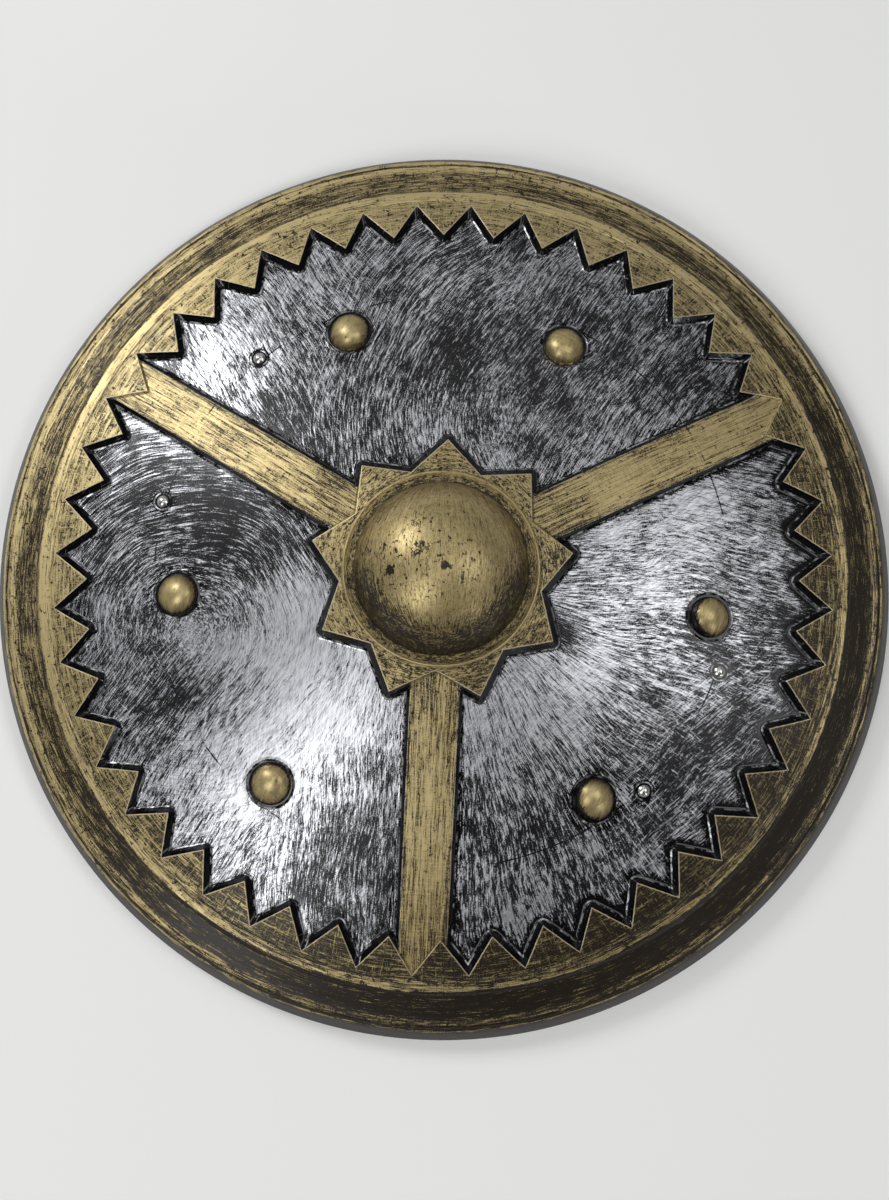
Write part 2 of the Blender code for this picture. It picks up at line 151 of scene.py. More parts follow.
# Fineness
NO_LENGTH = 1e-12
MERGE = 0.0005 * MM
PROBE = 0.05 * MM
PROFILE_STEP = 0.02 * MM
CAP_STEPS = 40
HOLE_SIDES = 32
SPOKE_LINE_STEP = 3.5 * MM
JOINT_SPACING = 0.7 * MM
JOINT_MARGIN = 4 * MM
TAB_STEPS = 8
STRAP_EDGE_SHARES = (0.0, 0.08, 0.25, 0.55, 1.0)
STRAP_EDGE_STEP = 1.6 * MM
STRAP_ROW_STEP = 1.3 * MM
STRAP_COLUMNS = 9
STRAP_MARGIN = 2.4 * MM

# How far loose places on the field keep from profiles, plates' edges and feet, studs and holes
PROFILE_MARGIN = 1 * MM
EDGE_MARGIN = 1.5 * MM
FOOT_MARGIN = 2 * MM
STUD_MARGIN = 3 * MM
HOLE_MARGIN = 5 * MM

# Lines along a plate's edge and its foot, and rings round a rivet's hole, in millimetres from each
EDGE_LINES = (-0.6, -0.35, -0.12, 0.12, 0.35)
FOOT_LINES = (-1.3, -0.65, 0.0, 0.65, 1.3, 2.8, 5.0)
RIVET_RINGS = (0.8, 1.6, 2.4, 3.2, 4.4)

# Rings by the radius where a spacing ends and that spacing, in millimetres
RIM_RINGS = ((218.0, 3.0), (222.0, 1.0), (223.2, 0.4), (226.8, 0.4), (228.0, 0.8), (237.0, 2.2),
             (250.0, 0.45))
BOSS_RINGS = ((0.6, 0.6), (44.0, 2.1), (53.6, 0.42))
STUD_RINGS = ((0.4, 0.4), (9.6, 1.1), (15.2, 0.33))

# Up to which radius a ring has few sides, those few, and the sides of a wider ring
BOSS_SIDES = (12 * MM, 36, 108)
STUD_SIDES = (2 * MM, 16, 48)

# Widths over which the corners of the turned profiles are rounded
BOSS_SOFTNESS = 0.9 * MM
RIM_SOFTNESS = 1.1 * MM
STUD_SOFTNESS = 0.6 * MM

# Small edges of the rivets, and how much of a full round the straps' edges have
HEAD_LIP = 0.02 * MM
TAIL_LIP = 0.25 * MM
EDGE_SINK = 0.96

# The photograph's view is turned from the shield's own frame by this angle
VIEW_TURN = math.radians(33.0)


def unit(angle):
    """Unit vector in plan at an angle in radians."""
    return np.array((math.cos(angle), math.sin(angle)))


def turned(places, angle):
    """Places in plan, turned about the shield's axis."""
    cosine, sine = math.cos(angle), math.sin(angle)
    return np.asarray(places) @ np.array(((cosine, sine), (-sine, cosine)))


def reach_of(places):
    """Distance of each place from the shield's axis."""
    return np.hypot(places[:, 0], places[:, 1])


def ring_places(centre, radius, sides):
    """Places of a ring in plan."""
    angles = math.tau * np.arange(sides) / sides
    return np.asarray(centre) + radius * np.column_stack((np.cos(angles), np.sin(angles)))


def stepped_radii(start, rows):
    """Radii from a start through rows of an end and a step, all in millimetres."""
    radii = [start]
    for end, step in rows:
        count = max(1, round((end - radii[-1]) / step))
        radii.extend(np.linspace(radii[-1], end, count + 1)[1:])
    return np.array(radii) * MM


def smooth_step(low, high, values):
    """0 below low, 1 above high, and an S-curve between them."""
    share = np.clip((values - low) / (high - low), 0.0, 1.0)
    return share * share * (3 - 2 * share)


def soft_max(first, second, width):
    """The greater of two heights, with the corner between them rounded."""
    gap = np.maximum(width - np.abs(first - second), 0.0)
    return np.maximum(first, second) + gap * gap / (4 * width)


# Turned profiles

def soft_profile(rows, softness):
    """Radii and heights of a turned profile, with its corners rounded over a width."""
    radii, heights = np.array(rows).T
    fine = np.arange(radii[0] - softness, radii[-1] + softness, PROFILE_STEP)
    raw = np.interp(fine, radii, heights)
    first_slope = (heights[1] - heights[0]) / (radii[1] - radii[0])
    last_slope = (heights[-1] - heights[-2]) / (radii[-1] - radii[-2])
    raw += np.minimum(fine - radii[0], 0.0) * first_slope + np.maximum(fine - radii[-1], 0.0) * last_slope
    window = np.hanning(round(softness / PROFILE_STEP) + 2)
    soft = np.convolve(raw, window / window.sum(), mode="same")
    margin = len(window) // 2
    return fine[margin:-margin], soft[margin:-margin]


def field_slope(radius):
    """Fall per metre of the field at a radius."""
    growth = (FIELD_OUTER_SLOPE - FIELD_INNER_SLOPE) / (RIDGE_RADIUS - COLLAR_RADIUS)
    return FIELD_INNER_SLOPE + growth * (radius - COLLAR_RADIUS)


def field_height(radius):
    """Height of the field's front at a radius."""
    return FIELD_EDGE_HEIGHT + (field_slope(radius) + FIELD_OUTER_SLOPE) / 2 * (RIDGE_RADIUS - radius)


def field_points(places):
    """Points of the field's front over places in plan."""
    return np.column_stack((places, field_height(reach_of(places))))


def field_normals(places):
    """Unit vectors square to the field at places in plan."""
    radii = reach_of(places)
    leans = np.arctan(field_slope(radii))
    return np.column_stack((places / radii[:, None] * np.sin(leans)[:, None], np.cos(leans)))


def cap(base_radius, height):
    """Ball radius and the full lean, at its base, of a spherical cap."""
    ball_radius = (base_radius ** 2 + height ** 2) / (2 * height)
    return ball_radius, math.acos(1 - height / ball_radius)


def cap_rows(base_radius, height, base_height, share=1.0):
    """Rows of radius, height and lean from the top of a spherical cap down a share of its lean."""
    ball_radius, full_lean = cap(base_radius, height)
    leans = np.linspace(0.0, full_lean * share, CAP_STEPS)
    heights = base_height + height - ball_radius * (1 - np.cos(leans))
    return list(zip(ball_radius * np.sin(leans), heights, leans))


def boss_rows():
    """Rows of radius and height from the top of the boss over its collar to the star."""
    collar_top = field_height(COLLAR_RADIUS) + PLATE_RISE + COLLAR_RISE
    foot = collar_top - BOSS_FOOT_DROP
    rows = [row[:2] for row in cap_rows(BOSS_RADIUS, BOSS_HEIGHT, foot)]
    rows.append((BOSS_RADIUS + 0.45 * COLLAR_WIDTH, foot + 0.12 * BOSS_FOOT_DROP))
    rows.append((BOSS_RADIUS + 0.8 * COLLAR_WIDTH, foot + 0.5 * BOSS_FOOT_DROP))
    rows.append((COLLAR_RADIUS, collar_top))
    for extra in (COLLAR_RUN, 3 * MM):
        rows.append((COLLAR_RADIUS + extra, field_height(COLLAR_RADIUS + extra) + PLATE_RISE))
    return rows


def rim_rows():
    """Rows of radius and height from the band over the ridge to the cut edge."""
    radii = np.arange(RIM_START - 3 * MM, RIDGE_RADIUS, 0.5 * MM)
    crest = CREST_RISE * smooth_step(RIDGE_RADIUS - CREST_WIDTH, RIDGE_RADIUS, radii)
    rows = list(zip(radii, field_height(radii) + PLATE_RISE + crest))
    rows.append((RIDGE_RADIUS, FIELD_EDGE_HEIGHT + PLATE_RISE + CREST_RISE))
    rows.extend((RIM_RADIUS - inset, height) for inset, height in RIM_ROWS)
    return rows


def stud_rows():
    """Rows of radius and height over the field, from the top of a stud through its moat."""
    rows = [row[:2] for row in cap_rows(STUD_RADIUS, STUD_HEIGHT, 0.0)]
    moat_edge = STUD_RADIUS + MOAT_WIDTH
    rows.extend(((STUD_RADIUS, -MOAT_DEPTH),
                 (moat_edge - 1.0 * MM, -MOAT_DEPTH),
                 (moat_edge, MOAT_LIP),
                 (moat_edge + 1.2 * MM, 0.0),
                 (moat_edge + 3 * MM, 0.0)))
    return rows


def lean_table(base_radius, height, outer_rows):
    """Rows of radius and lean of the thickness under a cap and past its foot."""
    _, full_lean = cap(base_radius, height)
    rows = [(radius, lean) for radius, _, lean in cap_rows(base_radius, height, 0.0, share=0.8)]
    rows.append((base_radius, full_lean / 2))
    rows.extend(outer_rows)
    return np.array(rows).T


BOSS_PROFILE = soft_profile(boss_rows(), BOSS_SOFTNESS)
RIM_PROFILE = soft_profile(rim_rows(), RIM_SOFTNESS)
STUD_PROFILE = soft_profile(stud_rows(), STUD_SOFTNESS)
BOSS_LEAN = lean_table(BOSS_RADIUS, BOSS_HEIGHT, ((COLLAR_RADIUS, math.atan(FIELD_INNER_SLOPE)),))
STUD_LEAN = lean_table(STUD_RADIUS, STUD_HEIGHT, ((STUD_RADIUS + MOAT_WIDTH, 0.0),))


def stud_places():
    """Where the studs stand; each is shifted a little from its even place, outwards and along."""
    angles = [math.radians(sector + side * STUD_SPREAD) for sector in SECTOR_ANGLES for side in (-1, 1)]
    return [(STUD_CIRCLE + outwards) * unit(angle) + along * unit(angle + math.pi / 2)
            for angle, (outwards, along) in zip(angles, STUD_SHIFTS)]


STUD_PLACES = stud_places()


def rivet_pair(side, spacing):
    """The two places on the rivets' circle that a strap's ends are fastened at."""
    along = side * math.sqrt(RIVET_CIRCLE ** 2 - (spacing / 2) ** 2)
    return [np.array((along, half * spacing / 2)) for half in (-1, 1)]


FOREARM_RIVETS = rivet_pair(-1, FOREARM_RIVET_SPACING)
GRIP_RIVETS = rivet_pair(1, GRIP_RIVET_SPACING)
RIVET_PLACES = FOREARM_RIVETS + GRIP_RIVETS


# Plates

class ToothedEdge:
    """Edge of a plate whose corners alternate between a tooth's tip and a notch."""

    def __init__(self, teeth, tip_radius, notch_radius):
        self.teeth = teeth
        self.half_period = math.pi / teeth
        self.tip = np.array((tip_radius, 0.0))
        self.notch = notch_radius * unit(self.half_period)
        self.length = np.linalg.norm(self.notch - self.tip)
        self.along = (self.notch - self.tip) / self.length
        normal = np.array((self.along[1], -self.along[0]))
        self.outwards = math.copysign(1.0, tip_radius - notch_radius)
        self.low_side = normal * math.copysign(1.0, normal[0] * self.outwards)

    def inside(self, places):
        """How far each place lies inside the plate's edge; negative on the low side."""
        period = 2 * self.half_period
        angles = np.arctan2(places[:, 1], places[:, 0])
        folded = np.abs(angles - period * np.round(angles / period))
        radii = reach_of(places)
        local = np.column_stack((radii * np.cos(folded), radii * np.sin(folded))) - self.tip
        share = np.clip(local @ self.along, 0.0, self.length)
        nearest = local - share[:, None] * self.along
        return -np.sign(nearest @ self.low_side) * np.hypot(nearest[:, 0], nearest[:, 1])

    def line(self, drop, steps):
        """Closed line at a distance on the low side of the edge, rounded past the teeth's tips."""
        start = self.tip + drop * self.low_side
        points = []
        if drop > 0:
            first = 0.0 if self.outwards > 0 else math.pi
            last = math.atan2(self.low_side[1], self.low_side[0])
            points.extend(self.tip + drop * unit(first + (last - first) * turn / 4) for turn in range(4))
            low = 0.0
        else:
            low = -start[1] / self.along[1]
        bisector = unit(self.half_period)
        across = np.array((-bisector[1], bisector[0]))
        high = -(start @ across) / (self.along @ across)
        points.extend(start + self.along * (low + (high - low) * step / steps) for step in range(steps + 1))
        half = np.array(points)
        mirrored = half[::-1] * (1.0, -1.0)
        tooth = np.vstack((mirrored[:-1], half[:-1]))
        return np.vstack([turned(tooth, 2 * self.half_period * index) for index in range(self.teeth)])


BAND_EDGE = ToothedEdge(TOOTH_COUNT, TOOTH_RADIUS, NOTCH_RADIUS)
STAR_EDGE = ToothedEdge(STAR_POINTS, STAR_TIP_RADIUS, STAR_NOTCH_RADIUS)


def spoke_axes(degrees):
    """Unit vectors in plan along a spoke and square to it."""
    axis = unit(math.radians(degrees))
    return axis, np.array((-axis[1], axis[0]))


def spoke_inside(places, degrees):
    """How far each place lies inside the long edges of a spoke."""
    axis, sideways = spoke_axes(degrees)
    return np.where(places @ axis > 0, SPOKE_WIDTH / 2 - np.abs(places @ sideways), -RIM_RADIUS)


def plate_height(rise, inside, settings):
    """Height of a raised plate with a rounded top edge and a fillet at its foot."""
    wall = rise + WALL_SLOPE * inside
    filled = soft_max(wall, 0.0 * wall, WALL_SLOPE * settings.foot_round)
    return -soft_max(-filled, 0.0 * wall - rise, WALL_SLOPE * settings.edge_round)


def plates(places, settings):
    """Heights of the band, the star and the three spokes over the field."""
    return [plate_height(PLATE_RISE, BAND_EDGE.inside(places), settings),
            plate_height(PLATE_RISE, STAR_EDGE.inside(places), settings),
            *(plate_height(SPOKE_RISE, spoke_inside(places, degrees), settings)
              for degrees in SPOKE_ANGLES)]


def front_points(places, settings):
    """The front of the shell over places in plan."""
    radii = reach_of(places)
    heights = field_height(radii) + np.maximum.reduce(plates(places, settings))
    for centre in STUD_PLACES:
        distance = reach_of(places - centre)
        heights += np.interp(distance, *STUD_PROFILE) * (distance < STUD_RADIUS + MOAT_WIDTH + 2 * MM)
    heights = np.where(radii < BOSS_LIMIT, np.interp(radii, *BOSS_PROFILE), heights)
    heights = np.where(radii > RIM_START, np.interp(radii, *RIM_PROFILE), heights)
    return np.column_stack((places, heights))


def thickness_direction(places):
    """Unit vectors along which the shell's thickness is laid off behind its front."""
    radii = reach_of(places)
    leans = np.arctan(field_slope(radii))
    leans = np.where(radii < COLLAR_RADIUS, np.interp(radii, *BOSS_LEAN), leans)
    ridge_lean = math.atan(FIELD_OUTER_SLOPE)
    turn = np.clip(1 - (RIM_RADIUS - radii) / RIDGE_INSET, 0.0, 1.0) ** 2
    leans = np.where(radii > RIDGE_RADIUS, ridge_lean + (math.pi / 2 - ridge_lean) * turn, leans)
    outwards = places / np.maximum(radii, MERGE)[:, None]
    normals = np.column_stack((outwards * np.sin(leans)[:, None], np.cos(leans)))
    for centre in STUD_PLACES:
        offsets = places - centre
        distance = reach_of(offsets)
        lean = np.interp(distance, *STUD_LEAN)[:, None]
        sideways = np.column_stack((offsets / np.maximum(distance, MERGE)[:, None], 0.0 * distance))
        normals = normals * np.cos(lean) + sideways * np.sin(lean)
    return normals / np.linalg.norm(normals, axis=1)[:, None]


def back_points(places, settings):
    """The back of the shell behind places in plan."""
    return front_points(places, settings) - thickness_direction(places) * SHEET_THICKNESS


def surface_normals(points_of, places):
    """Normals of a surface over places in plan, on its +Z side."""
    shift_x, shift_y = np.array((PROBE, 0.0)), np.array((0.0, PROBE))
    along_x = points_of(places + shift_x) - points_of(places - shift_x)
    along_y = points_of(places + shift_y) - points_of(places - shift_y)
    normals = np.cross(along_x, along_y)
    return normals / np.linalg.norm(normals, axis=1)[:, None]


# Flat layouts and the sheets made from them

class Layout:
    """Places, lines and holes of a flat drawing that becomes a sheet."""

    def __init__(self):
        self.groups = []
        self.lines = []
        self.holes = []
        self.count = 0

    def scatter(self, places):
        """Add loose places."""
        self.groups.append(np.asarray(places))
        self.count += len(places)

    def line(self, places, closed=True):
        """Add places joined in a run."""
        first = self.count
        self.scatter(places)
        self.lines.extend((index, index + 1) for index in range(first, self.count - 1))
        if closed:
            self.lines.append((self.count - 1, first))

    def rings(self, centre, radii, sides):
        """Add a place and rings round it, the inner ones with fewer sides."""
        inner_radius, inner_sides, outer_sides = sides
        self.scatter(centre[None, :])
        for radius in radii:
            self.line(ring_places(centre, radius, inner_sides if radius < inner_radius else outer_sides))

    def hole(self, centre, radius):
        """Add a round hole that goes through the sheet."""
        self.line(ring_places(centre, radius, HOLE_SIDES))
        self.holes.append((centre, radius))

    def triangulate(self):
        """Places of the finished drawing, and its triangles outside the holes."""
        flat = [Vector(place) for place in np.vstack(self.groups).tolist()]
        found = delaunay_2d_cdt(flat, self.lines, [], 0, MERGE, False)
        places = np.array([tuple(place) for place in found[0]])
        triangles = np.array(found[2])
        middles = places[triangles].mean(axis=1)
        kept = np.ones(len(triangles), bool)
        for centre, radius in self.holes:
            kept &= reach_of(middles - centre) > radius
        return places, triangles[kept]


def border_edges(triangles):
    """Directed edges that only one triangle has."""
    sides = np.vstack((triangles[:, (0, 1)], triangles[:, (1, 2)], triangles[:, (2, 0)]))
    known = set(map(tuple, sides.tolist()))
    return np.array(sorted(side for side in known if (side[1], side[0]) not in known))


def new_object(name, data):
    """An object in the scene."""
    piece = bpy.data.objects.new(name, data)
    bpy.context.scene.collection.objects.link(piece)
    return piece


def sheet_object(name, layout, front_of, back_of, materials):
    """Lift a layout into a closed sheet with a front, a back and cut edges; gives it and its places."""
    places, triangles = layout.triangulate()
    count = len(places)
    border = border_edges(triangles)
    front_faces = triangles
    back_faces = triangles[:, ::-1] + count
    wall_faces = np.vstack((np.column_stack((border[:, 1], border[:, 0], border[:, 0] + count)),
                            np.column_stack((border[:, 1], border[:, 0] + count, border[:, 1] + count))))
    faces = np.vstack((front_faces, back_faces, wall_faces))
    points = np.vstack((front_of(places), back_of(places)))
    corners = points[wall_faces]
    wall_normals = np.cross(corners[:, 1] - corners[:, 0], corners[:, 2] - corners[:, 0])
    wall_normals /= np.maximum(np.linalg.norm(wall_normals, axis=1), NO_LENGTH)[:, None]
    mesh = bpy.data.meshes.new(name)
    mesh.from_pydata(points.tolist(), [], faces.tolist())
    mesh.shade_smooth()
    loop_normals = np.vstack((surface_normals(front_of, places)[front_faces].reshape(-1, 3),
                              -surface_normals(back_of, places)[triangles[:, ::-1]].reshape(-1, 3),
                              np.repeat(wall_normals, 3, axis=0)))
    mesh.normals_split_custom_set(loop_normals.tolist())
    for material in materials:
        mesh.materials.append(material)
    if len(materials) > 1:
        slots = np.zeros(len(faces), np.int32)
        slots[len(front_faces):] = 1
        mesh.polygons.foreach_set("material_index", slots)
    return new_object(name, mesh), places


def set_attribute(mesh, name, values):
    """Store one number or vector for each place, the same on the front and the back."""
    both = np.vstack((values, values)) if values.ndim > 1 else np.hstack((values, values))
    kind = "FLOAT_VECTOR" if values.ndim > 1 else "FLOAT"
    attribute = mesh.attributes.new(name, kind, "POINT")
    attribute.data.foreach_set("vector" if values.ndim > 1 else "value", both.astype(np.float32).ravel())


# Layout of the shell

def crease_offsets(rise):
    """How far out from a plate's edge the lines along its rounded edge and its foot run."""
    run = rise / WALL_SLOPE
    return [offset * MM for offset in EDGE_LINES] + [run + offset * MM for offset in FOOT_LINES]


def plate_edges(places):
    """How far each place lies inside band, star and spokes, each with the run of its wall."""
    edges = [(edge.inside(places), PLATE_RISE / WALL_SLOPE) for edge in (BAND_EDGE, STAR_EDGE)]
    return edges + [(spoke_inside(places, degrees), SPOKE_RISE / WALL_SLOPE) for degrees in SPOKE_ANGLES]


def spoke_and_others(places, degrees, settings):
    """Height over the field of one spoke, and of the higher of band and star."""
    spoke = plate_height(SPOKE_RISE, spoke_inside(places, degrees), settings)
    return spoke, np.maximum(*plates(places, settings)[:2])


def spoke_lines(layout, degrees, settings):
    """Add the lines along both sides of a spoke, as far as they show."""
    axis, sideways = spoke_axes(degrees)
    along = np.arange(STAR_NOTCH_RADIUS, NOTCH_RADIUS, SPOKE_LINE_STEP)
    for side in (-1, 1):
        for offset in crease_offsets(SPOKE_RISE):
            places = along[:, None] * axis + side * (SPOKE_WIDTH / 2 + offset) * sideways
            spoke, others = spoke_and_others(places, degrees, settings)
            layout.line(places[spoke >= others], closed=False)


def open_places(spacing):
    """Places on a staggered grid, clear of every crease."""
    rows = np.arange(-RIM_START, RIM_START, spacing * math.sqrt(3) / 2)
    columns = np.arange(-RIM_START, RIM_START, spacing)
    grid = np.array([(x + (index % 2) * spacing / 2, y) for index, y in enumerate(rows) for x in columns])
    radii = reach_of(grid)
    clear = (radii > BOSS_LIMIT + PROFILE_MARGIN) & (radii < RIM_START - PROFILE_MARGIN)
    for inside, run in plate_edges(grid):
        clear &= (inside > EDGE_MARGIN) | (inside < -run - FOOT_MARGIN)
    for centre in STUD_PLACES:
        clear &= reach_of(grid - centre) > STUD_RADIUS + MOAT_WIDTH + STUD_MARGIN
    for centre in RIVET_PLACES:
        clear &= reach_of(grid - centre) > HOLE_RADIUS + HOLE_MARGIN
    return grid[clear]


def joint_places(degrees, settings):
    """Close places along the creases where a spoke runs into the star and the band."""
    axis, sideways = spoke_axes(degrees)
    half_width = SPOKE_WIDTH / 2 + JOINT_MARGIN
    across = np.arange(-half_width, half_width, JOINT_SPACING)
    along = np.hstack((np.arange(STAR_NOTCH_RADIUS, STAR_TIP_RADIUS + JOINT_MARGIN, JOINT_SPACING),
                       np.arange(TOOTH_RADIUS - JOINT_MARGIN, NOTCH_RADIUS, JOINT_SPACING)))
    grid = np.array([a * axis + b * sideways for a in along for b in across])
    spoke, others = spoke_and_others(grid, degrees, settings)
    kept = (np.minimum(spoke, others) > 0.02 * MM) & (np.abs(spoke - others) < 1.2 * MM)
    return grid[kept]


def shell_layout(settings):
    """Every ring, edge, foot and hole of the shell in plan, with loose places between them."""
    centre = np.zeros(2)
    layout = Layout()
    layout.rings(centre, stepped_radii(0.0, BOSS_RINGS)[1:], BOSS_SIDES)
    for radius in stepped_radii(RIM_START / MM - 1.0, RIM_RINGS):
        layout.line(ring_places(centre, radius, settings.rim_sides))
    for edge, steps in ((BAND_EDGE, 5), (STAR_EDGE, 6)):
        for drop in crease_offsets(PLATE_RISE):
            layout.line(edge.line(drop, steps))
    for degrees in SPOKE_ANGLES:
        spoke_lines(layout, degrees, settings)
        layout.scatter(joint_places(degrees, settings))
    for place in STUD_PLACES:
        layout.rings(place, stepped_radii(0.0, STUD_RINGS)[1:], STUD_SIDES)
    for place in RIVET_PLACES:
        layout.hole(place, HOLE_RADIUS)
        for extra in RIVET_RINGS:
            layout.line(ring_places(place, HOLE_RADIUS + extra * MM, HOLE_SIDES))
    layout.scatter(open_places(settings.field_spacing))
    return layout


# Brushwork; places and zones here are as the photograph's view has them, in millimetres

class Sweep:
    """One pass of a brush: strokes on arcs round a centre, or on a fan out of it."""

    def __init__(self, zone, reach, centre=None, slant=None, fan=False):
        self.zone = np.array(zone) * MM
        self.reach = reach * MM
        self.fan = fan
        if slant is not None:
            centre = np.array(zone) + STRAIGHT_RADIUS * unit(math.radians(slant - 90.0))
        self.centre = np.array(centre) * MM
        self.radius = max(np.linalg.norm(self.zone - self.centre), TIGHTEST_ARC * MM)

    def coordinates(self, places, length, width):
        """Position along and across the strokes, counted in stroke lengths and widths."""
        offsets = places - self.centre
        distance = np.maximum(reach_of(offsets), MERGE)[:, None]
        around = offsets / distance * self.radius
        if self.fan:
            return np.hstack((around / width, distance / length))
        return np.hstack((around / length, distance / width))

    def share(self, places):
        """How strongly this pass counts at each place."""
        return np.exp(-(reach_of(places - self.zone) / self.reach) ** 2)


# Radii of the arcs that look straight, and of the tightest arc that a hand brushes
STRAIGHT_RADIUS = 1500.0
TIGHTEST_ARC = 30.0

# The passes of the brush in each field: where, how far, and round which point or at which slant
FIELD_SWEEPS = (
    (Sweep((-17, 105), 62, centre=(96, 78)),
     Sweep((102, 105), 75, slant=55),
     Sweep((-112, 128), 62, slant=-58)),
    (Sweep((-118, 18), 62, centre=(-136, -30)),
     Sweep((-130, -92), 62, slant=54),
     Sweep((-39, -135), 55, slant=84)),
    (Sweep((64, -78), 90, centre=(7, -14), fan=True),
     Sweep((129, 40), 62, centre=(107, -230)),
     Sweep((139, -105), 48, slant=42)),
)

# Where the silver lies thicker (+) or thinner (-), paler or darker with it: place, reach, amount.
# The thicker patches lie where the lamps are reflected and are partly painted highlight
SILVER_AND_PAINTED_HIGHLIGHT_PATCHES = (
    ((-131, 122), 42, 0.30), ((-60, -66), 44, 0.45), ((-105, -120), 44, 0.36), ((120, 45), 50, 0.34),
    ((64, -58), 36, 0.36), ((18, -80), 26, 0.15), ((-122, 30), 40, -0.20), ((-52, -160), 34, -0.16),
    ((139, 95), 42, -0.12), ((31, 121), 46, -0.10), ((107, -100), 40, -0.12), ((168, -60), 34, -0.06),
    ((-152, -62), 30, -0.10), ((-78, 82), 26, -0.12), ((-83, -24), 28, 0.30), ((64, 96), 30, -0.08),
    ((61, -33), 9, -0.60), ((112, -24), 36, 0.10),
)

# Where each stud took its gold: bearing in the view of the side the brush came from, then the shift
# to that side and the reach past the stud's foot, both as shares of the stud's radius
STUD_GOLD = ((12.0, 0.22, 0.00), (5.0, 0.26, 0.00), (265.0, 0.10, 0.14),
             (265.0, 0.08, 0.12), (0.0, 0.0, 0.04), (0.0, 0.0, 0.04))

# How much gold rim and collar hold, and how pale it is, by distance from the axis in millimetres.
# The pale steps on the crest, the ridge's edge, the shoulder, the bead and the collar's edge are partly
# painted highlight; the darker lip and the collar's hollow are partly painted shade
RIM_COVERAGE = np.array((
    (190.0, 0.56), (214.0, 0.55), (217.0, 0.62), (219.5, 0.68), (222.6, 0.92), (223.6, 0.50),
    (224.6, 0.36), (226.0, 0.44), (231.0, 0.40), (237.0, 0.44), (238.8, 0.70), (241.6, 0.72),
    (242.3, 0.28), (243.0, 0.34), (243.8, 0.90), (244.8, 0.60), (245.6, 0.10), (250.0, 0.05))).T
RIM_TONE_AND_PAINTED_LIGHT = np.array((
    (190.0, 0.0), (216.0, 0.0), (219.5, 0.18), (222.2, 0.30), (223.2, 0.55), (223.8, -0.25),
    (226.0, -0.25), (236.0, -0.22), (239.0, 0.15), (241.4, 0.15), (242.4, -0.2), (243.2, 0.0),
    (244.0, 0.30), (245.0, 0.0), (246.0, -0.3), (250.0, -0.3))).T
COLLAR_COVERAGE = np.array((
    (46.5, 0.50), (47.6, 0.55), (50.0, 0.62), (51.4, 1.00), (52.3, 1.10), (53.0, 0.60))).T
COLLAR_TONE_AND_PAINTED_LIGHT = np.array(((46.5, -0.4), (48.0, -0.35), (51.0, -0.1), (52.0, 0.5), (53.0, 0.0))).T

# Small marks: place in the view, reach, and change of coverage
MARKS = (
    ((213.6, 11.4), 1.6, -2.0),
    ((-9.6, 5.4), 4.5, -0.55), ((2.6, -3.6), 3.2, -0.75), ((-26.5, -5.2), 3.4, -0.65),
    ((-30.0, 7.0), 2.6, -0.5), ((-12.0, 19.0), 3.0, -0.4), ((12.0, -9.5), 2.4, -0.4),
)

# Where strokes round the border have their true length
BORDER_RADIUS = 225 * MM

# The faint circle scored into the silver, and the worn spot on top of the boss
SCORE_RADIUS = 157.0 * MM
SCORE_WIDTH = 0.55 * MM
BOSS_WEAR_PLACE = np.array((-10.0, 3.0)) * MM
BOSS_WEAR_REACH = 24 * MM

# Bearings in the view that the dry side, the light side and the star's light side face, in degrees.
# Rim and band are painted paler towards the light side and darker away from it, and the star darker
# away from its light side, as painted light and shade
DRY_BEARING = -25.0
LIGHT_BEARING = 125.0
STAR_LIGHT_BEARING = 130.0

# What the shell's mesh stores for its material, as vectors and as numbers
SWEEP_NAMES = ("sweep_a", "sweep_b", "sweep_c")
NUMBER_NAMES = ("coverage", "gold", "glint", "tone", "worn", "foot")


def hand_wobble(view):
    """The slow wander of a hand, added to the places before strokes are laid through them.

    Its waves are 5 to 9 cm long and don't fit each other, so that no bend repeats.
    """
    x, y = view[:, 0] / MM, view[:, 1] / MM
    sideways = np.sin(0.071 * y + 1.3) + 0.6 * np.sin(0.13 * x - 0.09 * y)
    upwards = np.sin(0.083 * x + 0.4) + 0.6 * np.sin(0.11 * x + 0.12 * y + 2.0)
    return view + 1.1 * MM * np.column_stack((sideways, upwards))


def sector_of(places):
    """Index of the sector between two spokes that each place lies in."""
    degrees = np.degrees(np.arctan2(places[:, 1], places[:, 0]))
    return np.floor(((degrees - SPOKE_ANGLES[0]) % 360.0) / 120.0).astype(int) % 3


def wall_distance(places):
    """How far each place lies out on the field from the nearest foot of the band, star and spokes."""
    return np.minimum.reduce([-inside - run for inside, run in plate_edges(places)])


def round_distance(places):
    """How far each place lies out on the field from the nearest ring round a stud or a rivet's head. The ring
    round a rivet's head is wider than the head, so the bare black inside it is painted shade round the head.
    """
    rings = [(centre, STUD_RADIUS + 0.8 * MOAT_WIDTH) for centre in STUD_PLACES]
    rings += [(centre, 1.45 * HEAD_RADIUS) for centre in RIVET_PLACES]
    return np.minimum.reduce([reach_of(places - centre) - radius for centre, radius in rings])


def stud_gold_edge(places, centre, bearing, shift, past):
    """Distance from the middle of a stud's gold, as a share of the distance where the gold ends."""
    middle = centre + shift * STUD_RADIUS * unit(math.radians(bearing) + VIEW_TURN)
    return np.maximum(reach_of(places - middle), reach_of(places - centre) - past * STUD_RADIUS) / STUD_RADIUS


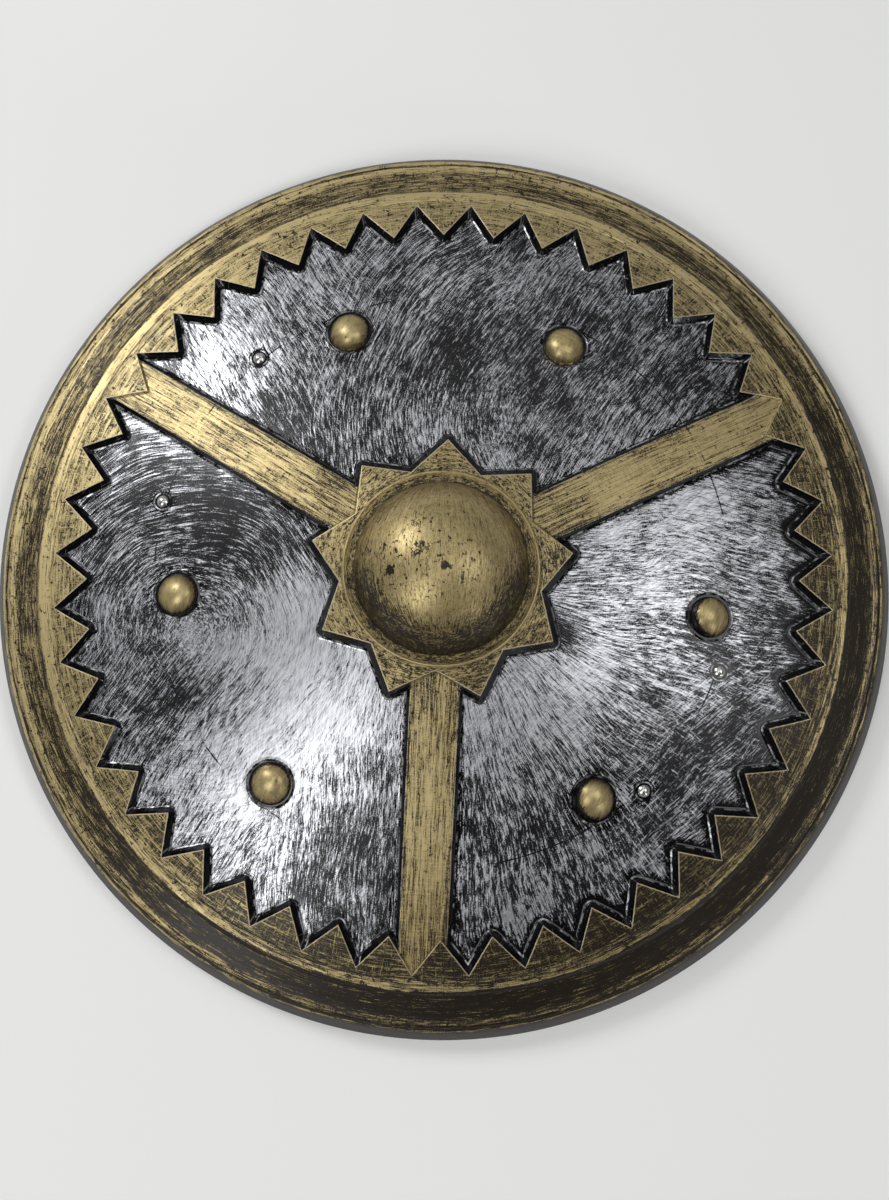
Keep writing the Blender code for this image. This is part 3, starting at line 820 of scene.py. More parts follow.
class Brushwork:
    """What is stored at each place of the shell: strokes, their shares, coverage, tone and wear; the tone
    also carries painted light and shade.
    """

    def __init__(self, places, paint):
        self.places = places
        self.length, self.width = paint.stroke_length, paint.stroke_width
        self.silver_coverage = paint.silver_coverage
        self.view = turned(places, -VIEW_TURN)
        self.hand = hand_wobble(self.view)
        self.radii = reach_of(places)
        self.band_inside = BAND_EDGE.inside(places)
        self.star_inside = STAR_EDGE.inside(places)
        self.spoke_insides = [spoke_inside(places, degrees) for degrees in SPOKE_ANGLES]
        self.sweeps = np.zeros((3, len(places), 3))
        self.shares = np.zeros((len(places), 3))
        self.coverage, self.tone, self.worn = np.zeros((3, len(places)))
        self.wall = wall_distance(places)
        self.ring = round_distance(places)
        self.gold = self.gold_share()

    def gold_share(self):
        """1 where the shell is painted gold and 0 where it is silver."""
        insides = np.maximum.reduce([self.band_inside, self.star_inside, *self.spoke_insides])
        gold = smooth_step(-0.15, 0.1, insides / MM)
        gold[(self.radii > RIM_START) | (self.radii < BOSS_LIMIT)] = 1.0
        for centre, brushed in zip(STUD_PLACES, STUD_GOLD):
            gold[stud_gold_edge(self.places, centre, *brushed) < 1.02] = 1.0
        return gold

    def towards(self, degrees, radius):
        """How far each place lies towards a bearing in the view, as a share of a radius."""
        return self.view @ unit(math.radians(degrees)) / radius

    def lay(self, mine, strokes, shares, coverage, tone, worn):
        """Store one part's strokes, by number of sweep, and its shares, coverage, tone and wear.

        Sweeps that share strokes are moved apart in the noise, so that none repeats another.
        """
        for index, values in strokes.items():
            self.sweeps[index][mine] = values
        self.shares[mine] = shares
        self.coverage[mine] = coverage
        self.tone[mine] = tone
        self.worn[mine] = worn

    def brush_field(self):
        """Silver, brushed in a few sweeps for each sector and thinner towards some walls, with patches that
        are partly painted highlight.
        """
        sectors = sector_of(self.places)
        for sector, passes in enumerate(FIELD_SWEEPS):
            mine = sectors == sector
            for index, sweep in enumerate(passes):
                self.sweeps[index][mine] = sweep.coordinates(self.hand[mine], self.length, self.width)
                self.shares[mine, index] = sweep.share(self.view[mine])
        self.shares /= self.shares.max(axis=1)[:, None]
        self.coverage[:] = self.silver_coverage
        # Thicker and paler silver in patches; the thicker ones are partly painted highlight where the lamps
        # are reflected
        for zone, reach, amount in SILVER_AND_PAINTED_HIGHLIGHT_PATCHES:
            bump = np.exp(-(reach_of(self.view - np.array(zone) * MM) / (reach * MM)) ** 2)
            self.coverage += amount * bump
            self.tone += 0.6 * amount * bump
        dry_side = smooth_step(0.2, 1.0, self.towards(DRY_BEARING, 0.75 * RIM_RADIUS))
        dry_width = (0.5 + 5.5 * dry_side) * MM
        self.coverage *= smooth_step(0.0, 1.0, (self.wall - 0.15 * MM) / dry_width)
        # Bare black round each stud's moat; round each rivet's head the bare ring is painted shade
        self.coverage *= smooth_step(0.1, 0.9, self.ring / MM)

    def brush_rim(self):
        """Gold on rim and band, brushed round and round, with a few strokes across; more and paler gold
        towards the light side and less and darker away from it, as painted light and shade.
        """
        mine = self.gold > 0.5
        around = self.hand / np.maximum(reach_of(self.hand), MERGE)[:, None] * BORDER_RADIUS
        radii = self.radii[:, None]
        rings = np.hstack((around / (1.8 * self.length), radii / self.width))[mine]
        rays = np.hstack((around / self.width, radii / (0.9 * self.length)))[mine]
        bearing = np.arctan2(self.view[:, 1], self.view[:, 0])
        shift = 0.8 * np.sin(bearing + 0.8) * (self.radii > RIDGE_RADIUS + 12 * MM)
        at = (self.radii / MM + shift)[mine]
        # Painted light and shade: more and paler gold towards the light side, less and darker away from it
        painted_light_side = np.minimum(self.towards(LIGHT_BEARING, RIM_RADIUS), 0.45)[mine]
        self.lay(mine, {0: rings, 1: rays + 40.0, 2: rings + 80.0}, (1.0, 0.0, 0.6),
                 np.interp(at, *RIM_COVERAGE) + 0.28 * painted_light_side,
                 np.interp(at, *RIM_TONE_AND_PAINTED_LIGHT) + 0.5 * painted_light_side, 0.5)
        self.shares[mine & (self.radii < RIDGE_RADIUS - CREST_WIDTH), 1] = 0.75

    def brush_spokes(self):
        """Gold laid lengthwise on the spokes, thinner along their edges and near the star, and darker towards
        the bottom of the view as painted shade.
        """
        for index, (degrees, inside) in enumerate(zip(SPOKE_ANGLES, self.spoke_insides)):
            mine = (inside > -0.2 * MM) & (self.band_inside < -0.2 * MM) & (self.star_inside < -0.2 * MM)
            mine &= self.radii > STAR_NOTCH_RADIUS
            axis, sideways = spoke_axes(degrees)
            along = self.places[mine] @ axis
            across = self.places[mine] @ sideways
            strokes = np.column_stack((along / (2.2 * self.length), along * 0.0 + 9.0 * index,
                                       across / self.width))
            near_star = smooth_step(26.0, 0.0, (along - STAR_TIP_RADIUS) / MM)
            near_side = smooth_step(6.0, 0.5, inside[mine] / MM)
            # Painted shade: darker towards the bottom of the view, on the lower spoke's outer end
            painted_shade_low_end = smooth_step(0.55, 0.8, -self.view[mine, 1] / RIM_RADIUS)
            self.lay(mine, {0: strokes, 1: strokes + 30.0}, (1.0, 0.85, 0.0),
                     0.76 - 0.14 * near_star - 0.14 * near_side - 0.10 * painted_shade_low_end,
                     0.24 - 0.15 * near_star - 0.45 * painted_shade_low_end, 0.3)

    def brush_star(self):
        """Gold on the star and the collar, brushed round the boss as the rim is; the star is painted darker
        away from its light side, as painted shade.
        """
        star = (self.star_inside > -0.2 * MM) & (self.radii >= BOSS_LIMIT)
        # Painted shade: the star darker away from its light side
        painted_star_shade = smooth_step(-0.1, -1.0, self.towards(STAR_LIGHT_BEARING, STAR_TIP_RADIUS)[star])
        self.lay(star, {}, (1.0, 0.5, 0.5), 0.68 - 0.08 * painted_star_shade, 0.06 - 0.22 * painted_star_shade, 1.1)
        collar = (self.radii < BOSS_LIMIT) & (self.radii > BOSS_RADIUS)
        at = self.radii[collar] / MM
        # The collar's tone holds painted shade in its hollow and a painted highlight on its edge
        self.lay(collar, {}, (1.0, 0.0, 0.6), np.interp(at, *COLLAR_COVERAGE),
                 np.interp(at, *COLLAR_TONE_AND_PAINTED_LIGHT), 0.2)

    def brush_boss(self):
        """Gold on the boss, brushed almost upright and worn through in small dark specks; darker round its
        edge and on its lower part, which is painted shade.
        """
        boss = self.radii <= BOSS_RADIUS
        view = self.view[boss]
        reach = self.radii[boss] / BOSS_RADIUS
        curved = view[:, 0] / np.sqrt(np.maximum(1.02 - (view[:, 1] / BOSS_RADIUS) ** 2, 0.1))
        upright = np.column_stack((curved / self.width, view[:, 1] / (0.8 * self.length), 0.0 * curved))
        # Painted shade: the boss darker on its lower part, where its strokes also run round
        low = smooth_step(0.55, 0.9, reach) * smooth_step(0.4, -0.6, view[:, 1] / BOSS_RADIUS)
        # Painted shade: the boss darker round its edge
        side = smooth_step(0.7, 1.0, reach)
        spot = np.exp(-(reach_of(view - BOSS_WEAR_PLACE) / BOSS_WEAR_REACH) ** 2)
        self.lay(boss, {1: upright, 2: upright + 50.0},
                 np.column_stack((low, 1.0 - 0.5 * low, 0.9 - 0.5 * low)),
                 0.90 - 0.24 * side - 0.34 * low, 0.10 - 0.30 * side - 0.50 * low, 0.25 + 0.85 * spot)

    def brush_studs(self):
        """Gold on top of each stud and on the side the brush came from, ragged below, and paler in the middle
        as a painted highlight.
        """
        for centre, brushed in zip(STUD_PLACES, STUD_GOLD):
            edge = stud_gold_edge(self.places, centre, *brushed)
            mine = edge < 1.06
            edge = edge[mine]
            offsets = self.view[mine] - turned(centre[None, :], -VIEW_TURN)
            slanted = turned(offsets, math.radians(25.0))
            strokes = np.column_stack((slanted[:, 0] / self.width, slanted[:, 1] / (0.7 * self.length),
                                       0.0 * slanted[:, 0] + 100.0 * centre[0] / RIM_RADIUS))
            # The tone is paler in each stud's middle, a painted highlight
            self.lay(mine, {0: strokes, 1: strokes + 20.0}, (1.0, 0.8, 0.0),
                     1.2 - 1.1 * smooth_step(0.84, 1.03, edge),
                     0.35 - 0.45 * smooth_step(0.5, 1.0, edge), 0.5)

    def edge_glint(self):
        """1 on the sharp upper edges, which a dry brush catches first, and 0 away from them; the material
        also paints these edges paler, a painted highlight.
        """
        glints = [smooth_step(-0.25, 0.0, inside / MM) * smooth_step(0.75, 0.3, inside / MM)
                  for inside in (self.band_inside, self.star_inside)]
        return np.maximum(*glints)

    def store(self, mesh):
        """Brush every part and store the result on the shell."""
        self.brush_field()
        self.brush_rim()
        self.brush_spokes()
        self.brush_star()
        self.brush_boss()
        self.brush_studs()
        stored = {**dict(zip(SWEEP_NAMES, self.sweeps)), "shares": self.shares,
                  "coverage": self.coverage, "gold": self.gold, "tone": self.tone, "worn": self.worn,
                  "foot": np.minimum(self.wall, self.ring), "glint": self.edge_glint()}
        for name, values in stored.items():
            set_attribute(mesh, name, values)


# Materials

# Sizes of what the noise patterns stand for
SHEET_WAVE = 35.714 * MM
PEEL_SIZE = 1.6667 * MM
RIVET_SCUFF = 1.1111 * MM
PLASTIC_SCUFF = 25.0 * MM
BACK_GRAIN = 1.4286 * MM
STRAP_GRAIN = 0.90909 * MM
BARE_GRAIN = 0.7 * MM

# Fine and bold streaks in one stroke's length or width
FINE_STREAKS = 1.15
BOLD_STREAKS = 0.42


def linear(hex_color):
    """Linear colour, with alpha, of an sRGB hex value."""
    channels = [int(hex_color[place:place + 2], 16) / 255 for place in (1, 3, 5)]
    straight = [value / 12.92 if value <= 0.04045 else ((value + 0.055) / 1.055) ** 2.4
                for value in channels]
    return (*straight, 1.0)


def opaque(color, factor=1.0):
    """A colour times a factor, with full alpha."""
    return (*[factor * part for part in color], 1.0)


def add_node(tree, kind, inputs=None, **settings):
    """Add a node with its settings, and set or link its inputs."""
    node = tree.nodes.new(kind)
    for name, value in settings.items():
        setattr(node, name, value)
    for key, value in (inputs or {}).items():
        if isinstance(value, bpy.types.NodeSocket):
            tree.links.new(value, node.inputs[key])
        else:
            node.inputs[key].default_value = value
    return node


def new_group(name, kind, inputs, outputs):
    """A node group with its sockets, and what its input node gives."""
    group = bpy.data.node_groups.new(name, kind)
    for in_out, sockets in (("INPUT", inputs), ("OUTPUT", outputs)):
        for socket, socket_kind in sockets:
            group.interface.new_socket(socket, in_out=in_out, socket_type="NodeSocket" + socket_kind)
    return group, add_node(group, "NodeGroupInput").outputs


class Nodes:
    """A shader tree, with a short call for each kind of node that it uses often."""

    def __init__(self, tree):
        self.tree = tree

    def math(self, operation, *values, **settings):
        """A sum, product or other step between numbers."""
        return add_node(self.tree, "ShaderNodeMath", dict(enumerate(values)), operation=operation,
                        **settings).outputs[0]

    def vector(self, operation, *values):
        """The outputs of a step between vectors."""
        return add_node(self.tree, "ShaderNodeVectorMath", dict(enumerate(values)),
                        operation=operation).outputs

    def noise(self, place, size, detail, roughness=0.6):
        """Noise whose patches have a size in the place's own unit."""
        return add_node(self.tree, "ShaderNodeTexNoise",
                        {"Vector": place, "Scale": 1.0 / size, "Detail": detail,
                         "Roughness": roughness}).outputs["Fac"]

    def ramp(self, value, start, end, first=0.0, last=1.0, **settings):
        """A number that runs from first to last as a value runs from start to end."""
        return add_node(self.tree, "ShaderNodeMapRange",
                        {"Value": value, "From Min": start, "From Max": end, "To Min": first,
                         "To Max": last}, **settings).outputs[0]

    def mix(self, share, first, second):
        """A number between two others."""
        return add_node(self.tree, "ShaderNodeMix", {0: share, 2: first, 3: second}).outputs[0]

    def blend(self, share, first, second):
        """A colour between two others."""
        return add_node(self.tree, "ShaderNodeMix", {0: share, 6: first, 7: second},
                        data_type="RGBA").outputs[2]

    def bump(self, height, distance, **more):
        """A bumped normal; more can give its Strength, and the Normal that it lies over."""
        return add_node(self.tree, "ShaderNodeBump",
                        {"Height": height, "Strength": 1.0, "Distance": distance, **more}).outputs["Normal"]

    def place(self):
        """Places in the piece's own frame, in metres."""
        return add_node(self.tree, "ShaderNodeTexCoord").outputs["Object"]

    def stored(self, names, output):
        """What the mesh stores under each name."""
        return {name: add_node(self.tree, "ShaderNodeAttribute", attribute_name=name,
                               attribute_type="GEOMETRY").outputs[output] for name in names}

    def surface(self, inputs):
        """The shader, with its inputs set or linked, as the material's surface."""
        shader = add_node(self.tree, "ShaderNodeBsdfPrincipled", inputs)
        add_node(self.tree, "ShaderNodeOutputMaterial", {"Surface": shader.outputs["BSDF"]})


def new_material(name):
    """A material with an empty tree, and the short calls that fill it."""
    material = bpy.data.materials.new(name)
    material.use_nodes = True
    material.node_tree.nodes.clear()
    return material, Nodes(material.node_tree)


def brush_group():
    """Node group: how much paint one pass of a dry brush leaves, and how bright its streaks are."""
    group, given = new_group("dry_brush_pass", "ShaderNodeTree",
                             (("Place", "Vector"), ("Share", "Float"), ("Coverage", "Float")),
                             (("Paint", "Float"), ("Streak", "Float")))
    nodes = Nodes(group)
    fine = nodes.noise(given["Place"], 1.0 / FINE_STREAKS, 2.0, 0.65)
    bold = nodes.noise(given["Place"], 1.0 / BOLD_STREAKS, 0.0, 0.5)
    streak = nodes.mix(0.24, fine, bold)
    amount = nodes.math("MULTIPLY", given["Share"], given["Coverage"])
    low = nodes.math("MULTIPLY_ADD", amount, -0.38, 0.66)
    high = nodes.math("ADD", low, 0.15)
    paint = nodes.ramp(streak, low, high, interpolation_type="SMOOTHSTEP")
    add_node(group, "NodeGroupOutput", {"Paint": paint, "Streak": streak})
    return group


def worn_coverage(nodes, known, place):
    """Coverage with its patches, grain, specks, small marks and the scored circle."""
    coverage = known["coverage"]
    patchy = nodes.math("MULTIPLY_ADD", known["gold"], -0.55, 1.0)
    for size, amount in ((30.0 * MM, 0.8), (9.0 * MM, 0.5), (BARE_GRAIN, 1.05)):
        change = nodes.math("MULTIPLY_ADD", nodes.noise(place, size, 2.0), amount, -amount / 2)
        if size > BARE_GRAIN:
            change = nodes.math("MULTIPLY", change, patchy)
        coverage = nodes.math("ADD", coverage, change)
    specks = nodes.ramp(nodes.noise(place, 2.6 * MM, 3.0), 0.58, 0.68)
    coverage = nodes.math("SUBTRACT", coverage, nodes.math("MULTIPLY", specks, known["worn"]))
    ragged = nodes.math("MULTIPLY_ADD", nodes.noise(place, 3.0 * MM, 4.0), 4.0, -2.0)
    flat = nodes.vector("MULTIPLY", place, (1.0, 1.0, 0.0))["Vector"]
    for spot, reach, amount in MARKS:
        spot = turned(np.array((spot,)) * MM, VIEW_TURN)[0]
        away = nodes.vector("DISTANCE", flat, (*spot, 0.0))["Value"]
        share = nodes.math("ADD", nodes.math("DIVIDE", away, reach * MM), ragged)
        coverage = nodes.math("ADD", coverage, nodes.ramp(share, 1.0, 0.6, last=amount))
    radius = nodes.vector("LENGTH", flat)["Value"]
    off = nodes.math("ABSOLUTE", nodes.math("SUBTRACT", radius, SCORE_RADIUS))
    line = nodes.ramp(off, SCORE_WIDTH, 0.3 * SCORE_WIDTH)
    broken = nodes.ramp(nodes.noise(place, 22.0 * MM, 2.0), 0.50, 0.60)
    scored = nodes.math("MULTIPLY", line, broken)
    coverage = nodes.math("SUBTRACT", coverage, nodes.math("MULTIPLY", scored, 0.6))
    coverage = nodes.math("MULTIPLY", coverage, nodes.math("GREATER_THAN", known["coverage"], 0.04))
    return nodes.math("MAXIMUM", coverage, known["glint"])


def painted_foot_highlight(nodes, foot, place):
    """A thin broken line of silver along the foot of each wall and round each stud's moat and rivet's head, a
    painted highlight of the shine in the fillet.
    """
    before = nodes.ramp(foot, -0.75 * MM, -0.40 * MM)
    after = nodes.ramp(foot, 0.45 * MM, 0.10 * MM)
    kept = nodes.ramp(nodes.noise(place, 6.0 * MM, 3.0, 0.7), 0.46, 0.60, last=0.8)
    return nodes.math("MULTIPLY", nodes.math("MULTIPLY", before, after), kept)


def painted_material(paint):
    """Black vacuum-formed styrene, dry-brushed silver on the field and gold on the relief.

    The eye sees fine metallic streaks over black, satin where the sheet is rubbed and glossy at the
    foot of each wall, with bare black on walls and in grooves. A thin broken silver line along each
    wall's foot is a painted highlight, the upper edges are painted paler as a painted highlight, and the
    stored tone carries painted light and shade. Real bristle marks are about 0.3 mm wide; they are drawn
    nearly twice as coarse, so that they show.
    """
    material, nodes = new_material("dry_brushed_black_styrene")
    known = nodes.stored(NUMBER_NAMES, "Fac")
    strokes = nodes.stored((*SWEEP_NAMES, "shares"), "Vector")
    shares = add_node(nodes.tree, "ShaderNodeSeparateXYZ", {0: strokes["shares"]}).outputs
    place = nodes.place()
    coverage = worn_coverage(nodes, known, place)
    group = brush_group()
    passes = [add_node(nodes.tree, "ShaderNodeGroup",
                       {"Place": strokes[name], "Share": shares[axis], "Coverage": coverage},
                       node_tree=group).outputs for name, axis in zip(SWEEP_NAMES, "XYZ")]
    painted, streak = passes[0]["Paint"], passes[0]["Streak"]
    for brushed in passes[1:]:
        painted = nodes.math("MAXIMUM", painted, brushed["Paint"])
        streak = nodes.mix(0.35, streak, brushed["Streak"])
    # A painted highlight: the silver line along each wall's foot and round the studs' moats and the rivets'
    # heads
    painted = nodes.math("MAXIMUM", painted, painted_foot_highlight(nodes, known["foot"], place))
    spread = nodes.ramp(streak, 0.38, 0.62, -0.1, 1.1, clamp=False)
    # Paler edges, a painted highlight, and the stored tone, which holds painted light and shade too
    pale = nodes.math("MULTIPLY_ADD", known["glint"], 0.6, known["tone"])
    shade = nodes.math("ADD", spread, pale, use_clamp=True)
    silver = nodes.blend(shade, opaque(paint.silver_dark), opaque(paint.silver_light))
    gold = nodes.blend(shade, opaque(paint.gold_dark), opaque(paint.gold_light))
    metal = nodes.blend(known["gold"], silver, gold)
    bare = nodes.blend(known["gold"], opaque(paint.black), opaque(paint.gold_glaze))
    rubbed = nodes.ramp(known["foot"], 1.5 * MM, 6.0 * MM, 0.12, 0.38)
    bare_roughness = nodes.mix(known["gold"], rubbed, 0.42)
    film_roughness = nodes.mix(known["gold"], paint.silver_roughness, paint.gold_roughness)
    waves = nodes.bump(nodes.noise(place, SHEET_WAVE, 1.0, 0.4), 0.5 * MM)
    peel = nodes.bump(nodes.noise(place, PEEL_SIZE, 1.0, 0.5), 0.04 * MM, Normal=waves)
    nodes.surface({"Base Color": nodes.blend(painted, bare, metal),
                   "Roughness": nodes.mix(painted, bare_roughness, film_roughness),
                   "Metallic": nodes.math("MULTIPLY", painted, paint.paint_metallic),
                   "Normal": nodes.bump(painted, 0.07 * MM, Normal=peel),
                   "Specular IOR Level": 0.27, "Coat Weight": 0.06, "Coat Roughness": 0.2})
    return material


def moulded_material(name, color, roughness, grain_size, grain_height):
    """Black moulded plastic: a satin skin with a fine grain that breaks up its shine."""
    material, nodes = new_material(name)
    place = nodes.place()
    scuffs = nodes.noise(place, PLASTIC_SCUFF, 4.0, 0.7)
    nodes.surface({"Base Color": nodes.blend(scuffs, opaque(color, 0.7), opaque(color, 1.6)),
                   "Roughness": nodes.ramp(scuffs, 0.3, 0.7, roughness - 0.08, roughness + 0.12),
                   "Normal": nodes.bump(nodes.noise(place, grain_size, 2.0), grain_height)})
    return material


def rivet_material(color):
    """Satin aluminium: bright domes whose shine is broken up by small scuffs."""
    material, nodes = new_material("polished_aluminium")
    scuffs = nodes.noise(nodes.place(), RIVET_SCUFF, 3.0)
    nodes.surface({"Base Color": opaque(color), "Metallic": 1.0,
                   "Roughness": nodes.ramp(scuffs, 0.35, 0.7, 0.24, 0.34),
                   "Normal": nodes.bump(scuffs, 0.02 * MM, Strength=0.3)})
    return material


# Straps

class Strap:
    """A band that is flat against the shell at both rivets and hangs in a loop between them."""

    def __init__(self, rivets, width, settings):
        self.rivets = rivets
        self.width = width
        self.edge_round = settings.edge_round
        self.middle = np.array((rivets[0][0], 0.0))
        self.half_length = rivets[1][1] + TAB_OVERHANG
        self.leg_start = rivets[1][1] - TAB_OVERHANG
        self.corner = np.array((width / 2, self.half_length)) - TAB_CORNER_RADIUS
        self.loop_normal = field_normals(self.middle[None, :])[0]
        room = field_height(abs(self.middle[0])) - LOOP_CLEARANCE
        self.loop_depth = room / self.loop_normal[2] - SHEET_THICKNESS - TOUCH_GAP - STRAP_THICKNESS

    def depth_and_slope(self, along):
        """Depth of the loop below the tabs along the strap, and its slope there."""
        share = np.clip((self.leg_start - np.abs(along)) / LOOP_LEG_RUN, 0.0, 1.0)
        depth = self.loop_depth * (1 - np.cos(math.pi * share)) / 2
        slope = self.loop_depth * math.pi * np.sin(math.pi * share) / (2 * LOOP_LEG_RUN)
        return depth, -np.copysign(slope, along)

    def edge_distance(self, places):
        """How far each place lies inside the strap's outline."""
        past = np.abs(places - self.middle) - self.corner
        return TAB_CORNER_RADIUS - reach_of(np.maximum(past, 0.0)) - np.minimum(past.max(axis=1), 0.0)

    def face_points(self, places, through):
        """Points of the strap at a share of its thickness, its edges rounded."""
        depth, slope = self.depth_and_slope(places[:, 1])
        normals = field_normals(places)
        near = field_points(places) - normals * (SHEET_THICKNESS + TOUCH_GAP)
        near -= depth[:, None] * self.loop_normal
        across = normals + np.column_stack((0.0 * slope, slope, 0.0 * slope))
        across /= np.linalg.norm(across, axis=1)[:, None]
        inset = np.clip(1 - self.edge_distance(places) / self.edge_round, 0.0, 1.0)
        sunk = self.edge_round * (1 - np.sqrt(1 - inset * inset)) * EDGE_SINK
        down = sunk + through * (STRAP_THICKNESS - 2 * sunk)
        return near - across * down[:, None]

    def front_points(self, places):
        """The strap's face towards the shell."""
        return self.face_points(places, 0.0)

    def back_points(self, places):
        """The strap's face away from the shell."""
        return self.face_points(places, 1.0)

    def outline(self, inset):
        """Outline of the strap, set in by a distance, with rounded ends."""
        points = []
        for turn, signs in enumerate(((1, 1), (-1, 1), (-1, -1), (1, -1))):
            for step in range(TAB_STEPS + 1):
                angle = math.pi / 2 * (turn + step / TAB_STEPS)
                points.append(self.middle + self.corner * signs + (TAB_CORNER_RADIUS - inset) * unit(angle))
        line = []
        for start, end in zip(points, points[1:] + points[:1]):
            count = max(1, round(np.linalg.norm(end - start) / STRAP_EDGE_STEP))
            line.extend(start + (end - start) * step / count for step in range(count))
        return np.array(line)

    def layout(self):
        """Outlines for the rounded edge, places between them and the rivet holes."""
        layout = Layout()
        for share in STRAP_EDGE_SHARES:
            layout.line(self.outline(share * self.edge_round))
        columns = np.linspace(-1.0, 1.0, STRAP_COLUMNS) * (self.width / 2 - STRAP_MARGIN)
        rows = np.arange(-self.half_length + STRAP_MARGIN, self.half_length - STRAP_MARGIN, STRAP_ROW_STEP)
        grid = np.array([(x, y) for y in rows for x in columns]) + self.middle
        clear = self.edge_distance(grid) > self.edge_round + 0.6 * MM
        for rivet in self.rivets:
            clear &= reach_of(grid - rivet) > HOLE_RADIUS + 0.8 * MM
            layout.hole(rivet, HOLE_RADIUS)
        layout.scatter(grid[clear])
        return layout


# Rivets

def rivet_outline():
    """Side view of a rivet from the top of its head to the middle of its clenched tail."""
    rows = [(radius, TOUCH_GAP + height) for radius, height, _ in cap_rows(HEAD_RADIUS, HEAD_HEIGHT, 0.0)]
    rows = rows[::4] + rows[-1:]
    tail_top = -(SHEET_THICKNESS + STRAP_THICKNESS + 2 * TOUCH_GAP)
    tail_bottom = tail_top - TAIL_HEIGHT
    rows.extend(((HEAD_RADIUS - HEAD_LIP, TOUCH_GAP + HEAD_LIP),
                 (SHANK_RADIUS, TOUCH_GAP),
                 (SHANK_RADIUS, tail_top),
                 (TAIL_RADIUS - TAIL_LIP, tail_top),
                 (TAIL_RADIUS, tail_top - TAIL_LIP),
                 (TAIL_RADIUS, tail_bottom + TAIL_LIP),
                 (TAIL_RADIUS - TAIL_LIP, tail_bottom),
                 (0.0, tail_bottom)))
    return rows


def rivet_tree(material):
    """Geometry Nodes that turn a rivet's outline and set one rivet at each marked place."""
    tree, given = new_group("set_rivets", "GeometryNodeTree",
                            (("Places", "Geometry"), ("Outline", "Object"), ("Sides", "Int"),
                             ("Seed", "Int")), (("Rivets", "Geometry"),))
    outline = add_node(tree, "GeometryNodeObjectInfo", {"Object": given["Outline"]})
    profile = add_node(tree, "GeometryNodeMeshToCurve", {"Mesh": outline.outputs["Geometry"]})
    axis = add_node(tree, "GeometryNodeCurvePrimitiveCircle",
                    {"Resolution": given["Sides"], "Radius": 0.0001 * MM})
    turned_mesh = add_node(tree, "GeometryNodeCurveToMesh",
                           {"Curve": axis.outputs["Curve"], "Profile Curve": profile.outputs["Curve"]})
    closed = add_node(tree, "GeometryNodeMergeByDistance",
                      {"Geometry": turned_mesh.outputs["Mesh"], "Distance": 0.001 * MM})
    normal = add_node(tree, "GeometryNodeInputNamedAttribute", {"Name": "square_to_shell"},
                      data_type="FLOAT_VECTOR")
    upright = add_node(tree, "FunctionNodeAlignRotationToVector",
                       {"Vector": normal.outputs["Attribute"]}, axis="Z")
    spin = add_node(tree, "FunctionNodeRandomValue", {"Max": math.tau, "Seed": given["Seed"]},
                    data_type="FLOAT")
    spin_angles = add_node(tree, "ShaderNodeCombineXYZ", {"Z": spin.outputs[1]})
    placed = add_node(tree, "GeometryNodeInstanceOnPoints",
                      {"Points": given["Places"], "Instance": closed.outputs["Geometry"],
                       "Rotation": upright.outputs["Rotation"]})
    spun = add_node(tree, "GeometryNodeRotateInstances",
                    {"Instances": placed.outputs["Instances"], "Rotation": spin_angles.outputs["Vector"]})
    real = add_node(tree, "GeometryNodeRealizeInstances", {"Geometry": spun.outputs["Instances"]})
    finished = add_node(tree, "GeometryNodeSetMaterial",
                        {"Geometry": real.outputs["Geometry"], "Material": material})
    add_node(tree, "NodeGroupOutput", {"Rivets": finished.outputs["Geometry"]})
    return tree


def plain_copy(name, source):
    """A plain mesh object of an object as its modifiers make it; the source is removed."""
    bpy.context.view_layer.update()
    graph = bpy.context.evaluated_depsgraph_get()
    mesh = bpy.data.meshes.new_from_object(source.evaluated_get(graph), depsgraph=graph)
    source.modifiers.clear()
    bpy.data.objects.remove(source, do_unlink=True)
    return new_object(name, mesh)


# Settings

def length_setting(name, description, default):
    """A length on the add-on's panel."""
    return FloatProperty(name=name, description=description, default=default, unit="LENGTH", precision=5)


def number_setting(name, description, default):
    """A number on the add-on's panel."""
    return FloatProperty(name=name, description=description, default=default)


def count_setting(name, description, default):
    """A whole number on the add-on's panel."""
    return IntProperty(name=name, description=description, default=default)


def color_setting(name, description, hex_color):
    """A colour on the add-on's panel."""
    return FloatVectorProperty(name=name, description=description, subtype="COLOR",
                               default=linear(hex_color)[:3])


class ShellSettings(bpy.types.PropertyGroup):
    """Sizes of the shell that the frame leaves open."""

    edge_round: length_setting("Edge Rounding", "Half width of a rounded upper edge", 0.35 * MM)
    foot_round: length_setting("Foot Fillet", "Half width of the fillet at a wall's foot", 1.3 * MM)
    field_spacing: length_setting("Field Spacing", "Distance of places on the open field", 4.5 * MM)
    rim_sides: count_setting("Rim Sides", "Sides of each ring of the rim", 264)


